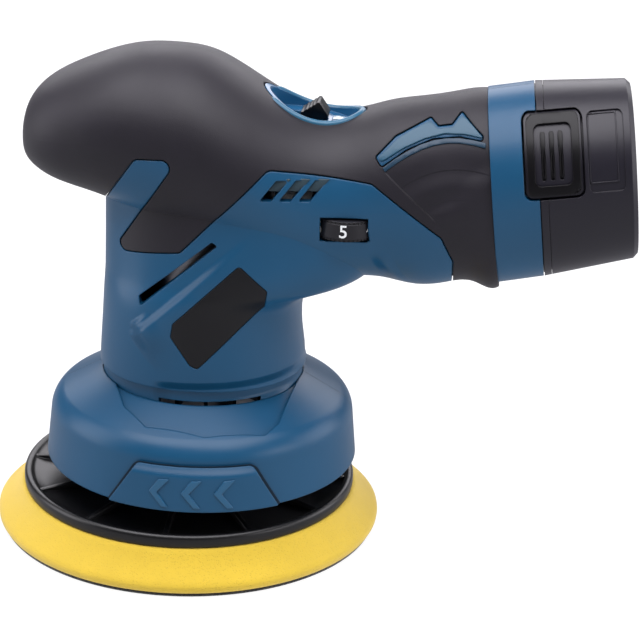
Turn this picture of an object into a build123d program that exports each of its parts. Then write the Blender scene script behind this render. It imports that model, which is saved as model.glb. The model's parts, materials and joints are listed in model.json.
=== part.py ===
"""Cordless dual action polisher with a five inch hook pad.

Millimetres, +Z up. The pad's working face lies in Z = 0 and the motor axis is the Z axis. The
handle runs along +X to the battery, and the housing parts into a left (-Y) and a right (+Y) half.
At rest the pad's own axis stands one throw in front of the motor axis, on the nose side.
"""
from build123d import *
from math import cos, radians, sin, sqrt
import os

os.makedirs("parts", exist_ok=True)

# ---- Driving dimensions -------------------------------------------------------------------

# Pad: a hook disc, a flared foam body and the backing plate
pad_diameter = 125.0
foam_top_diameter = 109.0
foam_thickness = 11.4
foam_skirt = 2.4                # height of the widest, upright part of the foam's edge
hook_thickness = 1.2
plate_diameter = 108.0
plate_thickness = 2.6
plate_lip_width = 2.6
plate_lip_height = 1.5
plate_hub_diameter = 32.0
plate_hub_height = 8.0
plate_rib_count = 12
plate_rib_width = 1.6
stud_diameter = 6.0

# Orbit drive
throw = 4.0                     # from the motor axis to the pad axis
ball_bearing_bore = 8.0         # the two bearings of the pad spindle
ball_bearing_diameter = 22.0
ball_bearing_width = 7.0
bearing_spacing = 1.2
spindle_flange_diameter = 18.0
spindle_flange_height = 4.0
hub_wall = 3.6
circlip_thickness = 0.9
counterweight_radius = 37.0
counterweight_height = 9.5
counterweight_half_angle = 52.0
shaft_sleeve_diameter = 14.0
shaft_sleeve_height = 5.5

# Fan and motor
fan_diameter = 54.0
fan_blade_height = 6.5
fan_disc_thickness = 1.5
fan_blade_count = 18
motor_shaft_diameter = 5.0
motor_diameter = 43.0
motor_length = 57.0
motor_wall = 1.5
motor_cap_height = 7.0
motor_bearing_diameter = 16.0
motor_bearing_width = 5.0
motor_boss_diameter = 20.0
magnet_thickness = 4.5
armature_diameter = 27.0
mount_plate_thickness = 2.0

# Bell around the orbit drive
bell_diameter = 100.6
bell_shoulder_diameter = 97.8
bell_cone_diameter = 89.6       # where the conical top ends and the round shoulder begins
bell_height = 28.2
bell_shoulder_drop = 13.7       # from the bell's top to the lower edge of its shoulder
bell_cone_drop = 6.9
bell_wall = 2.4
bell_gap = 8.8                  # from the plate's top face up to the bell's rim
panel_rise = 0.8                # how far the front panel stands proud
pocket_depth = 0.9              # of the pocket in the bell's top, in front of the foot

# Column and foot
column_diameter = 66.0
foot_diameter = 64.4
foot_step = 3.8                 # from the bell's top up to the step above the vent slots
foot_flange_diameter = 76.0
foot_flange_thickness = 3.0
foot_depth = 12.2               # how far the foot reaches below the bell's top

# Head, grip, collar
head_length = 55.5              # from the motor axis to the nose
head_width = 66.0
crown_height = 104.7            # above the bell's top
grip_reach = 89.5               # from the motor axis to the collar
grip_rise = 66.5                # the handle axis at the collar, above the bell's top
grip_tilt = 7.0
grip_width = 56.0
collar_length = 14.0
collar_width = 57.4
collar_height = 60.2

# Walls and skins
rubber_thickness = 1.5
shell_wall = 1.9                # under the rubber; bare walls are this and the rubber's thickness
groove = 0.45                   # open groove round the rubber
seat_gap = 0.2
oval_fullness = 0.60            # 0.552 makes the sections elliptical, more makes them squarer

# Battery
battery_length = 28.8
battery_end_width = 52.0
battery_end_height = 54.8
battery_wall = 2.2
battery_gap = 0.3
cell_diameter = 18.4
cell_length = 65.0
cell_clearance = 0.25
stem_wall = 1.8
stem_clearance = 0.4
battery_screw_diameter = 2.5

# Release buttons of the battery
button_length = 16.8
button_height = 23.0
button_thickness = 3.2
button_travel = 2.5
button_gap = 0.6
button_inset = 0.7              # how far a button lies below the case's skin
button_flange = 1.2
button_peg_depth = 10.0         # from the case's widest skin in to the end of the button's peg
button_centre_rise = 14.3
button_inner = 10.0             # from the seam to the inner ends of a button
label_length = 10.6             # the blank panel behind a button
label_height = 22.0
label_margin = 3.4              # from the battery's end to the panel
label_depth = 0.5
button_overlap = 3.8            # how far a button reaches into the collar's notch

# Power slider and its bezel
bezel_length = 31.6
bezel_width = 22.0
bezel_centre = 32.6
bezel_rise = 84.9               # height of the bezel's floor above the bell's top at its centre
bezel_wall = 1.6
slider_length = 8.6
slider_width = 9.0
slider_height = 5.4
slider_travel = 5.0
slider_stem = 4.0
switch_length = 20.0
switch_width = 16.0
switch_height = 14.0
switch_drop = 2.2               # from the bezel's underside down to the switch
ledge_width = 3.0               # the ledge under the bezel
lens_length = 5.0

# Speed dial
dial_diameter = 18.0
dial_thickness = 6.4
dial_distance = 45.5            # from the motor axis
dial_rise = 53.8                # the dial's underside above the bell's top
dial_offset = 20.4              # from the seam to the dial's axis
dial_window_length = 14.4
dial_window_height = 7.8
dial_shaft_diameter = 3.0
dial_notches = 22
dial_clearance = 0.3

# Fasteners
screw_diameter = 3.0
screw_head_diameter = 5.6
screw_head_height = 2.2
boss_diameter = 7.0

# ---- Heights that follow ------------------------------------------------------------------
foam_top = hook_thickness + foam_thickness
plate_top = foam_top + plate_thickness
hub_top = plate_top + plate_hub_height
bell_rim = plate_top + bell_gap
bell_top = bell_rim + bell_height
foot_bottom = bell_top - foot_depth
column_base = bell_top + foot_step
crown = bell_top + crown_height

spindle_flange_bottom = hub_top + seat_gap
bearing_bottom = spindle_flange_bottom + spindle_flange_height
bearing_pair = 2 * ball_bearing_width + bearing_spacing
bearing_top = bearing_bottom + bearing_pair
spindle_pocket_top = bearing_top + 2.6
sleeve_bottom = spindle_pocket_top + 2.0
sleeve_top = sleeve_bottom + shaft_sleeve_height
fan_blade_bottom = sleeve_bottom + 0.4
fan_disc_bottom = fan_blade_bottom + fan_blade_height
fan_hub_top = fan_disc_bottom + fan_disc_thickness + 1.5
motor_boss_bottom = fan_hub_top + 0.6
motor_bottom = motor_boss_bottom + 4.0
motor_top = motor_bottom + motor_length
motor_cap_top = motor_top + motor_cap_height

bare_wall = rubber_thickness + shell_wall
half_head = head_width / 2
half_grip = grip_width / 2
handle = Location((grip_reach, 0, bell_top + grip_rise), (0, -grip_tilt, 0))
cell_pitch = (cell_diameter + cell_clearance) / sqrt(3)
stem_radius = cell_diameter / 2 + cell_clearance + stem_wall
stem_tip = collar_length + battery_length - battery_wall - 0.6 - cell_length - stem_wall - 0.6
FAR = 400.0                     # longer than the tool in any direction


# ---- Shape helpers ------------------------------------------------------------------------
def rod(diameter, bottom, top, x=0.0, y=0.0):
    """An upright cylinder between two heights."""
    return Pos(x, y, (bottom + top) / 2) * Cylinder(diameter / 2, top - bottom)


def ring(diameter, bore, bottom, top, x=0.0, y=0.0):
    """An upright ring between two heights."""
    return rod(diameter, bottom, top, x, y) - rod(bore, bottom - 1, top + 1, x, y)


def block(x_from, x_to, y_from, y_to, z_from, z_to):
    """A box given by its limits."""
    centre = Pos((x_from + x_to) / 2, (y_from + y_to) / 2, (z_from + z_to) / 2)
    return centre * Box(x_to - x_from, y_to - y_from, z_to - z_from)


def cross_rod(diameter, x, z, y_from, y_to):
    """A cylinder along Y."""
    return Pos(x, (y_from + y_to) / 2, z) * Rot(90, 0, 0) * Cylinder(diameter / 2, y_to - y_from)


def side_prism(points, radius, y_from, y_to):
    """A rounded polygon in the XZ plane, drawn out along Y."""
    outline = [(x, y_from, z) for x, z in points]
    if radius == 0:
        line = Polyline(*outline, close=True)
    else:
        line = FilletPolyline(*outline, radius=radius, close=True)
    return extrude(make_face(line), y_to - y_from, dir=(0, 1, 0))


def oval(centre, up, side, fullness=oval_fullness):
    """A smooth closed face through centre +/- up and centre +/- side."""
    reach = [up, side, up * -1, side * -1]
    edges = []
    for index in range(4):
        first, second = reach[index], reach[(index + 1) % 4]
        start, end = centre + first, centre + second
        edges.append(Bezier(start, start + second * fullness, end + first * fullness, end))
    return make_face(edges)


def upright_oval(x, low, high, half_width, inset=0.0):
    """A section across the tool in a plane X = x."""
    up = Vector(0, 0, (high - low) / 2 - inset)
    return oval(Vector(x, 0, (high + low) / 2), up, Vector(0, inset - half_width, 0))


def left_of_seam(shape):
    """The part of a shape on the left of the parting plane."""
    return shape & block(-FAR, FAR, -FAR, 0, -FAR, FAR)


def mirrored(shape):
    """The same shape on the other side of the parting plane."""
    return mirror(shape, about=Plane.XZ)


def around(count, make, start=0.0):
    """Copies of one solid, evenly spaced about the Z axis."""
    return [Rot(0, 0, start + 360 / count * index) * make for index in range(count)]


def write(name, shape):
    """Write one named sub-part."""
    whole = Compound(shape) if isinstance(shape, list) else shape
    export_step(whole, f"parts/{name}.step")


# ---- Outer form ---------------------------------------------------------------------------
def smooth_row(rows, place):
    """Values between the rows of a table, by a cubic curve that never overshoots them.

    Each row is (place, value, value, ...), in rising order of place.
    """
    last = len(rows) - 1
    index = max(i for i in range(last) if i == 0 or rows[i][0] <= place)

    def slope(i, column):
        """Slope of one column between row i and the next."""
        return (rows[i + 1][column] - rows[i][column]) / (rows[i + 1][0] - rows[i][0])

    def tangent(i, column):
        """Slope at row i: the harmonic mean of both sides, or flat at a turning point."""
        if i == 0 or i == last:
            return slope(min(i, last - 1), column)
        before, after = slope(i - 1, column), slope(i, column)
        return 0.0 if before * after <= 0 else 2 * before * after / (before + after)

    step = rows[index + 1][0] - rows[index][0]
    t = (place - rows[index][0]) / step
    values = []
    for column in range(1, len(rows[0])):
        start, end = rows[index][column], rows[index + 1][column]
        leave, arrive = tangent(index, column) * step, tangent(index + 1, column) * step
        values.append((2 * t**3 - 3 * t**2 + 1) * start + (t**3 - 2 * t**2 + t) * leave
                      + (3 * t**2 - 2 * t**3) * end + (t**3 - t**2) * arrive)
    return values


def barrel_rows():
    """Side profile of head and grip: place along X, underside, top, half width."""
    # share of the head's length, depth of underside and of top below the crown, width share
    head = [
        (1.00, 35.2, 22.6, 0.30), (0.98, 38.0, 17.8, 0.45), (0.925, 40.4, 13.9, 0.58),
        (0.836, 42.8, 10.2, 0.71), (0.712, 44.8, 6.7, 0.82), (0.534, 47.4, 2.9, 0.925),
        (0.32, 52.0, 0.4, 0.985), (0.107, 56.6, 0.2, 1.0),
    ]
    # share of the grip's reach, the same two depths, how much of the head's extra width is left
    grip = [
        (0.089, 60.0, 5.2, 0.94), (0.223, 63.6, 12.0, 0.62), (0.358, 66.9, 17.2, 0.20),
        (0.469, 69.2, 18.4, -0.10), (0.603, 68.8, 14.9, -0.28), (0.737, 70.7, 12.5, -0.24),
        (0.872, 69.5, 10.1, -0.14), (1.06, 67.8, 7.2, 0.0),
    ]
    rows = [(-share * head_length, crown - low, crown - high, half_head * width)
            for share, low, high, width in head]
    rows += [(share * grip_reach, crown - low, crown - high,
              half_grip + (half_head - half_grip) * width) for share, low, high, width in grip]
    return rows


def barrel(inset=0.0):
    """The head and the grip in one run, from the nose to just behind the collar's front."""
    rows = barrel_rows()
    nose_steps, grip_steps = 8, 10
    places = [-head_length * cos(radians(90 * step / nose_steps)) for step in range(nose_steps)]
    places += [1.06 * grip_reach * step / grip_steps for step in range(grip_steps + 1)]
    sections = []
    for place in places:
        low, high, half_width = smooth_row(rows, place)
        if (high - low) / 2 > inset + 2 and half_width > inset + 2:
            x = place if place > 0 else place * (head_length - inset) / head_length
            sections.append(upright_oval(x, low, high, half_width, inset))
    return loft(sections)


def column(inset=0.0):
    """The upright body round the motor, flaring backwards into the grip."""
    radius = column_diameter / 2
    # height above the bell's top, rearward reach beyond the radius, narrowing of the width
    flare = [
        (foot_step, 0.2, 0.0), (12.0, -1.0, 0.4), (19.0, -1.7, 0.8), (25.6, -1.4, 1.1),
        (29.5, 1.8, 1.3), (33.2, 10.4, 1.5), (35.0, 16.4, 1.7), (38.6, 21.5, 2.0),
        (46.0, 25.5, 3.0), (64.0, 26.0, 5.0),
    ]
    steps = 15
    sections = []
    for step in range(steps + 1):
        height = foot_step + (64.0 - foot_step) * step / steps
        reach, narrowing = smooth_row(flare, height)
        front = -radius + min(narrowing, 1.5) + inset
        rear = radius + reach - inset
        middle = Vector((front + rear) / 2, 0, bell_top + height)
        side = Vector(0, radius - narrowing - inset, 0)
        sections.append(oval(middle, Vector((rear - front) / 2, 0, 0), side))
    return loft(sections)


def behind_collar_front():
    """Everything behind the front face of the collar."""
    return handle * block(0, FAR, -FAR, FAR, -FAR, FAR)


def body_form(inset=0.0):
    """Head, grip and column, cut square to the handle where the collar begins."""
    return barrel(inset) + column(inset) - behind_collar_front()


def handle_oval(along, low, high, half_width):
    """A section square to the handle's axis, in the handle's own frame."""
    centre = Vector(along, 0, (high + low) / 2)
    return oval(centre, Vector(0, 0, (high - low) / 2), Vector(0, -half_width, 0))


collar_top = collar_height / 2 - 0.2
collar_underside = -collar_height / 2 - 0.2
battery_end = collar_length + battery_length


def collar_form(inset=0.0, extra=0.0):
    """The ring between the grip and the battery, in the handle's frame."""
    half = collar_width / 2 - inset
    return loft([
        handle_oval(-extra, collar_underside + inset, collar_top - inset, half),
        handle_oval(collar_length + extra, collar_underside + 1.3 + inset,
                    collar_top + 0.9 - inset, half + 0.1),
    ])


def battery_form(inset=0.0):
    """The battery's cap behind the collar, in the handle's frame."""
    low, high = collar_underside + 1.3, collar_top + 0.9
    end_high = high - 1.0
    end_low = end_high - battery_end_height
    half, half_end = collar_width / 2 + 0.1, battery_end_width / 2
    start, bow = collar_length + battery_gap, 1.4
    cap = loft([
        handle_oval(start + inset, low + inset, high - inset, half - inset),
        handle_oval(battery_end - bow - inset, end_low + inset, end_high - inset, half_end - inset),
    ])
    tip = loft([
        handle_oval(battery_end - bow - inset, end_low + inset, end_high - inset, half_end - inset),
        handle_oval(battery_end - inset, end_low + bow + inset, end_high - bow - inset,
                    half_end - bow - inset),
    ])
    return cap + tip


def stem_form(start, end, extra=0.0):
    """The trefoil stem round the three cells, in the handle's frame."""
    circles = []
    for angle in (90, 210, 330):
        y, z = cell_pitch * cos(radians(angle)), cell_pitch * sin(radians(angle))
        circles += (Pos(y, z - 1) * Circle(stem_radius + extra)).edges()
    section = make_hull(circles)
    facing = Plane(origin=(start, 0, 0), x_dir=(0, 1, 0), z_dir=(1, 0, 0))
    return extrude(facing * section, end - start)


# ---- Rubber skin, windows and vents in the housing ----------------------------------------
def above_bell(points):
    """Side view points whose heights are given above the bell's top."""
    return [(x, bell_top + height) for x, height in points]


def rubber_outline():
    """Side view of the rubber: head, tongue and grip, round the bare blue panels."""
    rear = grip_reach + 20
    return above_bell([
        (-head_length - 20, 53.6), (-32.6, 53.8), (-17.0, 76.6), (-4.6, 77.0), (-24.6, 46.2),
        (-22.8, 43.6), (-3.8, 46.7), (22.4, 74.6), (53.2, 71.2), (74.6, 56.0), (78.4, 48.0),
        (78.6, 20.0), (rear, 20.0), (rear, 130.0), (-head_length - 20, 130.0),
    ])


def inlay_outline():
    """Side view of the bare crescent that shows through the grip's rubber."""
    return above_bell([
        (54.0, 78.8), (59.4, 84.4), (69.4, 89.5), (71.8, 87.8), (76.0, 88.6), (78.6, 91.8),
        (86.4, 85.6), (78.4, 86.3), (70.5, 85.0), (62.8, 81.6), (55.8, 76.6),
    ])


def skin_band(depth):
    """The outermost layer of the body, down to a depth."""
    return body_form() - body_form(depth)


def side_zone(points, radius, grow=0.0):
    """A rounded side view outline through the whole tool, grown or (if negative) shrunk."""
    face = make_face(FilletPolyline(*[(x, 0, z) for x, z in points], radius=radius, close=True))
    if grow:
        face = offset(face, grow, kind=Kind.ARC)
    return extrude(face, FAR / 4, dir=(0, 1, 0)) + extrude(face, FAR / 4, dir=(0, -1, 0))


def rubber_zone(shrink=0.0):
    """The block of space that the rubber covers, outside the crescent."""
    return side_zone(rubber_outline(), 2.4, -shrink) - side_zone(inlay_outline(), 0.6, shrink)


def vent_slots():
    """Three slanted vents on the shoulder and a long slot down the front, through one side."""
    slots = []
    for index in range(3):
        x = 20.1 + 5.7 * index
        slots.append(above_bell([(x, 65.6), (x + 3.6, 65.6), (x + 8.4, 71.8), (x + 4.8, 71.8)]))
    slots.append(above_bell([(-16.6, 31.9), (-16.0, 28.9), (7.8, 50.2), (6.0, 51.3)]))
    return [side_prism(slot, 0.5, -FAR / 4, -12) for slot in slots]


def foot_vent():
    """The arched slot round the foot that shows the fan, on one side."""
    low, high = bell_top - 3.4, bell_top + 0.3
    band = ring(foot_diameter + 8, foot_diameter - 14, low, high)
    wedge = block(-9.5, 21.5, -FAR / 4, -16, low - 1, high + 1)
    return band & wedge


def plate_outline():
    """Side view of the name plate."""
    return above_bell([
        (14.6, 44.8), (23.4, 37.0), (22.4, 31.4), (2.6, 11.0), (0.2, 12.2), (-6.0, 20.8),
        (-5.4, 25.2),
    ])


def dial_window():
    """The opening for the dial, on the left side."""
    x_from = dial_distance - dial_window_length / 2
    z_from = bell_top + dial_rise + dial_thickness / 2 - dial_window_height / 2
    return block(x_from, x_from + dial_window_length, -FAR / 4, -12, z_from,
                 z_from + dial_window_height)


def control_arm(extra=0.0):
    """The end of the speed control that reaches the dial's shaft, enlarged by extra all round."""
    half_length, top = control_length / 2 + extra, bell_top + dial_rise - dial_clearance
    return block(dial_distance - half_length, dial_distance + half_length,
                 -dial_offset - dial_shaft_diameter / 2 - 0.8 - extra, control_inner - board_half_width,
                 top - control_arm_height - extra, top)


def dial_room():
    """The room that the dial turns in, let into the wall beside its window."""
    low = bell_top + dial_rise - dial_clearance
    return rod(dial_diameter + 2 * dial_clearance, low,
               low + dial_thickness + 2 * dial_clearance, dial_distance, -dial_offset)


bezel_frame = Location((bezel_centre, 0, bell_top + bezel_rise), (0, grip_tilt, 0))


def bezel_oval(extra=0.0):
    """Plan of the bezel, in its own frame."""
    half_length, half_width = bezel_length / 2 + extra, bezel_width / 2 + extra
    return oval(Vector(0, 0, 0), Vector(half_length, 0, 0), Vector(0, half_width, 0), 0.5)


def bezel_prism(extra, low, high):
    """The bezel's plan drawn upwards between two levels of its own frame."""
    return bezel_frame * extrude(Pos(0, 0, low) * bezel_oval(extra), high - low)


# ---- Screws that join the two halves ------------------------------------------------------
housing_screw_places = [
    (-43.0, 73.8), (-12.0, 94.6), (12.2, 89.2), (35.0, 42.8), (52.6, 82.2), (57.4, 41.6),
]
screw_tip = -9.0
screw_seat = 8.0                # the screw head's seat, right of the seam
shroud_screw_offset = 42.4
shroud_screw_rise = bell_rim + 10.0


def screw(x, z, seat=screw_seat, tip=screw_tip):
    """A pan head screw along Y, put in from the right."""
    head = cross_rod(screw_head_diameter, x, z, seat, seat + screw_head_height)
    head -= cross_rod(screw_head_diameter / 3, x, z, seat + screw_head_height / 2,
                      seat + screw_head_height + 1)
    return cross_rod(screw_diameter, x, z, tip, seat) + head


def boss(x, z):
    """A solid post from the seam outwards, on the left."""
    return cross_rod(boss_diameter, x, z, -FAR / 8, 0)


def screw_holes(x, z, side):
    """The hole in one half: a pilot on the left, a stepped hole on the right."""
    if side == "left":
        return cross_rod(screw_diameter + 0.06, x, z, screw_tip - 2, 1)
    shank = cross_rod(screw_diameter + 0.4, x, z, -1, screw_seat + 1)
    return shank + cross_rod(screw_head_diameter + 0.5, x, z, screw_seat, FAR / 4)


# ---- Housing ------------------------------------------------------------------------------
def foot():
    """The round foot that stands in the bell, with the flange that the bell grips."""
    flange_top = foot_bottom + foot_flange_thickness
    outside = rod(foot_diameter, foot_bottom, column_base)
    return outside + rod(foot_flange_diameter, foot_bottom, flange_top)


def cavity():
    """The room inside the housing, open at the foot and at the battery's mouth."""
    room = barrel(bare_wall) + column(bare_wall)
    room += rod(foot_diameter - 2 * bare_wall, foot_bottom - 1, column_base + 1)
    mouth = collar_form(bare_wall, extra=2.0)
    return room - handle * block(collar_length, FAR, -FAR, FAR, -FAR, FAR) + handle * mouth


def inner_ribs():
    """Rings that hold the motor, a guide round the battery's stem and shelves for the board."""
    ribs = []
    for height in (motor_bottom + 6, motor_top - 12):
        disc = body_form(1.0) & block(-36, 33, -FAR, FAR, height, height + 2.5)
        ribs.append(disc - rod(motor_diameter + 0.3, height - 1, height + 4))
    slab = handle * block(-4, -1.5, -FAR, FAR, -40, 40)
    ribs.append((body_form(1.0) & slab) - handle * stem_form(-10, 5, stem_clearance))
    shelf = block(board_from, board_to, -FAR, FAR, board_bottom - 2.0, board_bottom - 0.1)
    shelf -= block(-FAR, FAR, 3 - board_half_width, board_half_width - 3, 0, FAR)
    ribs.append(body_form(1.0) & shelf)
    plate = block(-36, 36, -FAR, FAR, motor_boss_bottom - 1.0, motor_bottom - mount_plate_thickness)
    ribs.append(((body_form(1.0) + foot()) & plate) - rod(motor_diameter + 3, 0, FAR))
    shelf = bezel_prism(2.0, -bezel_wall - 2.0, -bezel_wall - 0.1)
    shelf -= bezel_prism(-ledge_width, -bezel_wall - 3, 0)
    ribs.append(body_form(1.0) & shelf)
    return ribs


board_from, board_to = 37.0, 54.5
board_bottom = bell_top + dial_rise - 7.2
board_thickness = 1.6
board_half_width = 17.8
control_length = 10.0
control_inner = 3.8
control_arm_height = 3.4


def housing_half(side):
    """One half of the housing, made on the left and mirrored if it is the right one."""
    half = body_form() + foot() + handle * collar_form()
    half = left_of_seam(half) - cavity()
    for rib in inner_ribs():
        half += left_of_seam(rib)
    posts = boss(*housing_post(0))
    for index in range(1, len(housing_screw_places)):
        posts += boss(*housing_post(index))
    half += posts & left_of_seam(body_form(1.0))
    half -= (rubber_zone() & skin_band(rubber_thickness))
    for slot in vent_slots():
        half -= slot
    half -= foot_vent()
    half -= bezel_prism(seat_gap, -bezel_wall - 0.1, 30)
    half -= handle * button_notch()
    for index in range(len(housing_screw_places)):
        half -= screw_holes_left(index, side)
    if side == "left":
        half -= side_prism(plate_outline(), 1.4, -FAR / 4, -12) & skin_band(0.9)
        half -= dial_window()
        half -= dial_room()
        half -= control_arm(seat_gap)
        return half
    return mirrored(half)


def housing_post(index):
    """Place of one screw post: distance from the motor axis and height."""
    x, height = housing_screw_places[index]
    return x, bell_top + height


def screw_holes_left(index, side):
    """A screw's holes as they lie on the left, before the right half is mirrored."""
    x, z = housing_post(index)
    if side == "left":
        return screw_holes(x, z, "left")
    return mirrored(screw_holes(x, z, "right"))


def button_notch():
    """The round-ended notch in the collar's rear edge, in front of a release button."""
    depth = button_overlap + button_gap
    low = button_centre_rise - button_height / 2 - button_gap
    high = button_centre_rise + button_height / 2 + button_gap
    notch = block(collar_length - depth, collar_length + 5, -FAR / 4, -4, low, high)
    edges = notch.edges().filter_by(Axis.Y).sort_by(Axis.X)[:2]
    return fillet(edges, 2.4)


def grip_overmold(side):
    """The rubber on one half."""
    skin = left_of_seam(skin_band(rubber_thickness)) & rubber_zone(groove)
    skin -= bezel_prism(seat_gap + groove, -20, 30)
    if side == "left":
        return skin
    for index in range(len(housing_screw_places)):
        x, z = housing_post(index)
        skin -= mirrored(cross_rod(screw_head_diameter + 0.5, x, z, screw_seat, FAR / 4))
    return mirrored(skin)


def name_plate():
    """A thin blank plate let into the left side."""
    return left_of_seam(skin_band(0.85)) & side_zone(plate_outline(), 1.4, -seat_gap)


# ---- Bell ---------------------------------------------------------------------------------
def bell_solid(inset):
    """The bell's outer form, or with an inset the room inside it."""
    rim, shoulder = bell_diameter / 2 - inset, bell_shoulder_diameter / 2 - inset
    cone = bell_cone_diameter / 2 - inset * 0.6
    top = bell_top - inset
    mouth = foot_diameter / 2 + seat_gap
    floor = bell_rim - (1 if inset else 0)
    wall_top, cone_end = top - bell_shoulder_drop, top - bell_cone_drop
    knee = (0.72 * shoulder + 0.28 * cone, 0, 0.45 * wall_top + 0.55 * cone_end)
    outline = [
        Line((0, 0, floor), (rim, 0, floor)),
        Line((rim, 0, floor), (shoulder, 0, wall_top)),
        ThreePointArc((shoulder, 0, wall_top), knee, (cone, 0, cone_end)),
        Line((cone, 0, cone_end), (mouth, 0, top)),
        Line((mouth, 0, top), (0, 0, top)),
        Line((0, 0, top), (0, 0, floor)),
    ]
    return revolve(make_face(outline), Axis.Z, 360)


def bell_recess():
    """The block of space over the pocket round the front of the foot, on the left."""
    low = bell_top - bell_cone_drop - 1.0
    outline = Polyline((-32.0, -2, low), (-27.7, -14, low), (-20.2, -31.8, low),
                       (-11.8, -40.7, low), (6.7, -43.5, low), (24.6, -37.6, low),
                       (28.2, -31.2, low), (32.4, -2, low), close=True)
    return extrude(make_face(outline), 12, dir=(0, 0, 1))


def bell_panel():
    """The raised panel at the bell's front, on the left."""
    top, low = bell_top - bell_shoulder_drop - 0.6, bell_rim - 1
    points = [(-22.7, low), (-13.3, top), (22.0, top), (30.5, low)]
    return side_prism(points, 1.5, -FAR / 4, -20)


def chevrons():
    """Three engraved arrow heads on the panel."""
    cuts = []
    for index in range(3):
        tip, middle = -9.4 + 9.8 * index, bell_rim + 5.6
        cuts.append(side_prism(
            [(tip, middle), (tip + 4.6, middle + 5.4), (tip + 7.2, middle + 5.4),
             (tip + 3.4, middle), (tip + 8.0, middle - 5.0), (tip + 5.2, middle - 5.0)],
            0, -FAR / 4, -20))
    return cuts


def shroud_half(side):
    """One half of the bell, clamped round the foot's flange."""
    bell = bell_solid(0) - bell_solid(bell_wall) - rod(foot_diameter + 2 * seat_gap, 0, FAR)
    flange_top = foot_bottom + foot_flange_thickness
    low, high = foot_bottom - 1.7, flange_top + 2.0
    web = ring(foot_flange_diameter + 4, foot_flange_diameter + 0.6, low, bell_top)
    web += ring(foot_flange_diameter + 4, foot_diameter + 2 * seat_gap, flange_top + 0.1, high)
    web += ring(foot_flange_diameter + 4, foot_diameter + 6, low, foot_bottom - 0.1)
    half = left_of_seam(bell + (web & bell_solid(1.0)))
    half += left_of_seam(raised_layer() & bell_panel())
    for cut in chevrons():
        half -= cut & raised_layer()
    half -= bell_recess() & bell_solid_lowered()
    for x in (-shroud_screw_offset, shroud_screw_offset):
        post = cross_rod(boss_diameter, x, shroud_screw_rise, -FAR / 8, 0) & bell_solid(1.0)
        half += left_of_seam(post)
        hole = screw_holes(x, shroud_screw_rise, side)
        half -= hole if side == "left" else mirrored(hole)
    return half if side == "left" else mirrored(half)


def raised_layer():
    """The layer of the bell's wall that the front panel stands up in."""
    grown = bell_solid(-panel_rise) & block(-FAR, FAR, -FAR, FAR, bell_rim, FAR)
    return grown - bell_solid(0.4)


def bell_solid_lowered():
    """The outer layer of the bell's top wall, which the pocket is cut into."""
    return bell_solid(0) - bell_solid(pocket_depth)


# ---- Motor, fan and orbit drive -----------------------------------------------------------
def motor_can():
    """The steel can, open at the top, with a bearing boss under its floor."""
    can = ring(motor_diameter, motor_diameter - 2 * motor_wall, motor_bottom, motor_top)
    can += ring(motor_diameter, motor_boss_diameter, motor_bottom, motor_bottom + motor_wall)
    boss_ring = ring(motor_boss_diameter, motor_bearing_diameter + 0.02, motor_boss_bottom,
                     motor_bottom + motor_wall)
    boss_ring += ring(motor_bearing_diameter + 2, motor_shaft_diameter + 3,
                      motor_bottom + motor_wall, motor_bottom + motor_wall + 1)
    can += boss_ring
    for x, y in motor_screw_places:
        can -= rod(screw_diameter + 0.06, motor_bottom - 1, motor_bottom + motor_wall + 1, x, y)
    for window in around(4, block(14, 30, -3.5, 3.5, motor_bottom + 3, motor_bottom + 9), 45):
        can -= window
    return can


motor_screw_places = [(0.0, -14.5), (0.0, 14.5)]


def motor_screws():
    """Two screws that hold the motor to its plate."""
    screws = []
    for x, y in motor_screw_places:
        low = motor_bottom - mount_plate_thickness
        shank = rod(screw_diameter, low, motor_bottom + motor_wall + 1.5, x, y)
        screws.append(shank + rod(screw_head_diameter, low - screw_head_height, low, x, y))
    return screws


def motor_mount_plate():
    """The round steel plate under the motor, held in the housing's ledge."""
    low, high = motor_bottom - mount_plate_thickness, motor_bottom
    plate = ring(foot_diameter - 2 * bare_wall - 3.0, motor_boss_diameter + 0.4, low, high)
    for x, y in motor_screw_places:
        plate -= rod(screw_diameter + 0.4, low - 1, high + 1, x, y)
    for slot in around(6, rod(5.0, low - 1, high + 1, 21.0, 0), 30):
        plate -= slot
    return plate


def motor_end_cap():
    """The moulded cap on top of the motor, with the upper bearing's seat."""
    cap = rod(motor_diameter, motor_top, motor_cap_top - 2)
    cap += rod(motor_bearing_diameter + 5, motor_top, motor_cap_top)
    cap -= rod(motor_bearing_diameter + 0.02, motor_top - 1, motor_top + motor_bearing_width)
    cap -= rod(motor_shaft_diameter + 3, motor_top - 1, motor_cap_top + 1)
    for x in (-1, 1):
        cap -= block(min(x * 9.5, x * 21), max(x * 9.5, x * 21), -2.6, 2.6, motor_top - 1,
                     motor_top + 3.4)
    return cap


def brush_parts():
    """Two brush holders that hang from the cap, and the carbon brushes in them."""
    low, high = motor_top - 6.0, motor_top
    holders, brushes = [], []
    for angle in (0, 180):
        holder = block(9.6, 19.0, -3.4, 3.4, low, high) - block(8, 20, -2.2, 2.2, low + 1.4,
                                                                high - 1.0)
        brush = block(commutator_diameter / 2 + 0.1, 15.5, -2.1, 2.1, low + 1.5, high - 1.1)
        holders.append(Rot(0, 0, angle) * holder)
        brushes.append(Rot(0, 0, angle) * brush)
    return holders, brushes


commutator_diameter = 16.0


def magnets():
    """Two curved magnets inside the can."""
    outer = motor_diameter - 2 * motor_wall - 0.02
    arc = ring(outer, outer - 2 * magnet_thickness, motor_bottom + 11, motor_top - 12)
    return [arc & block(-9, 9, -FAR, -1, 0, FAR), arc & block(-9, 9, 1, FAR, 0, FAR)]


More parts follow.
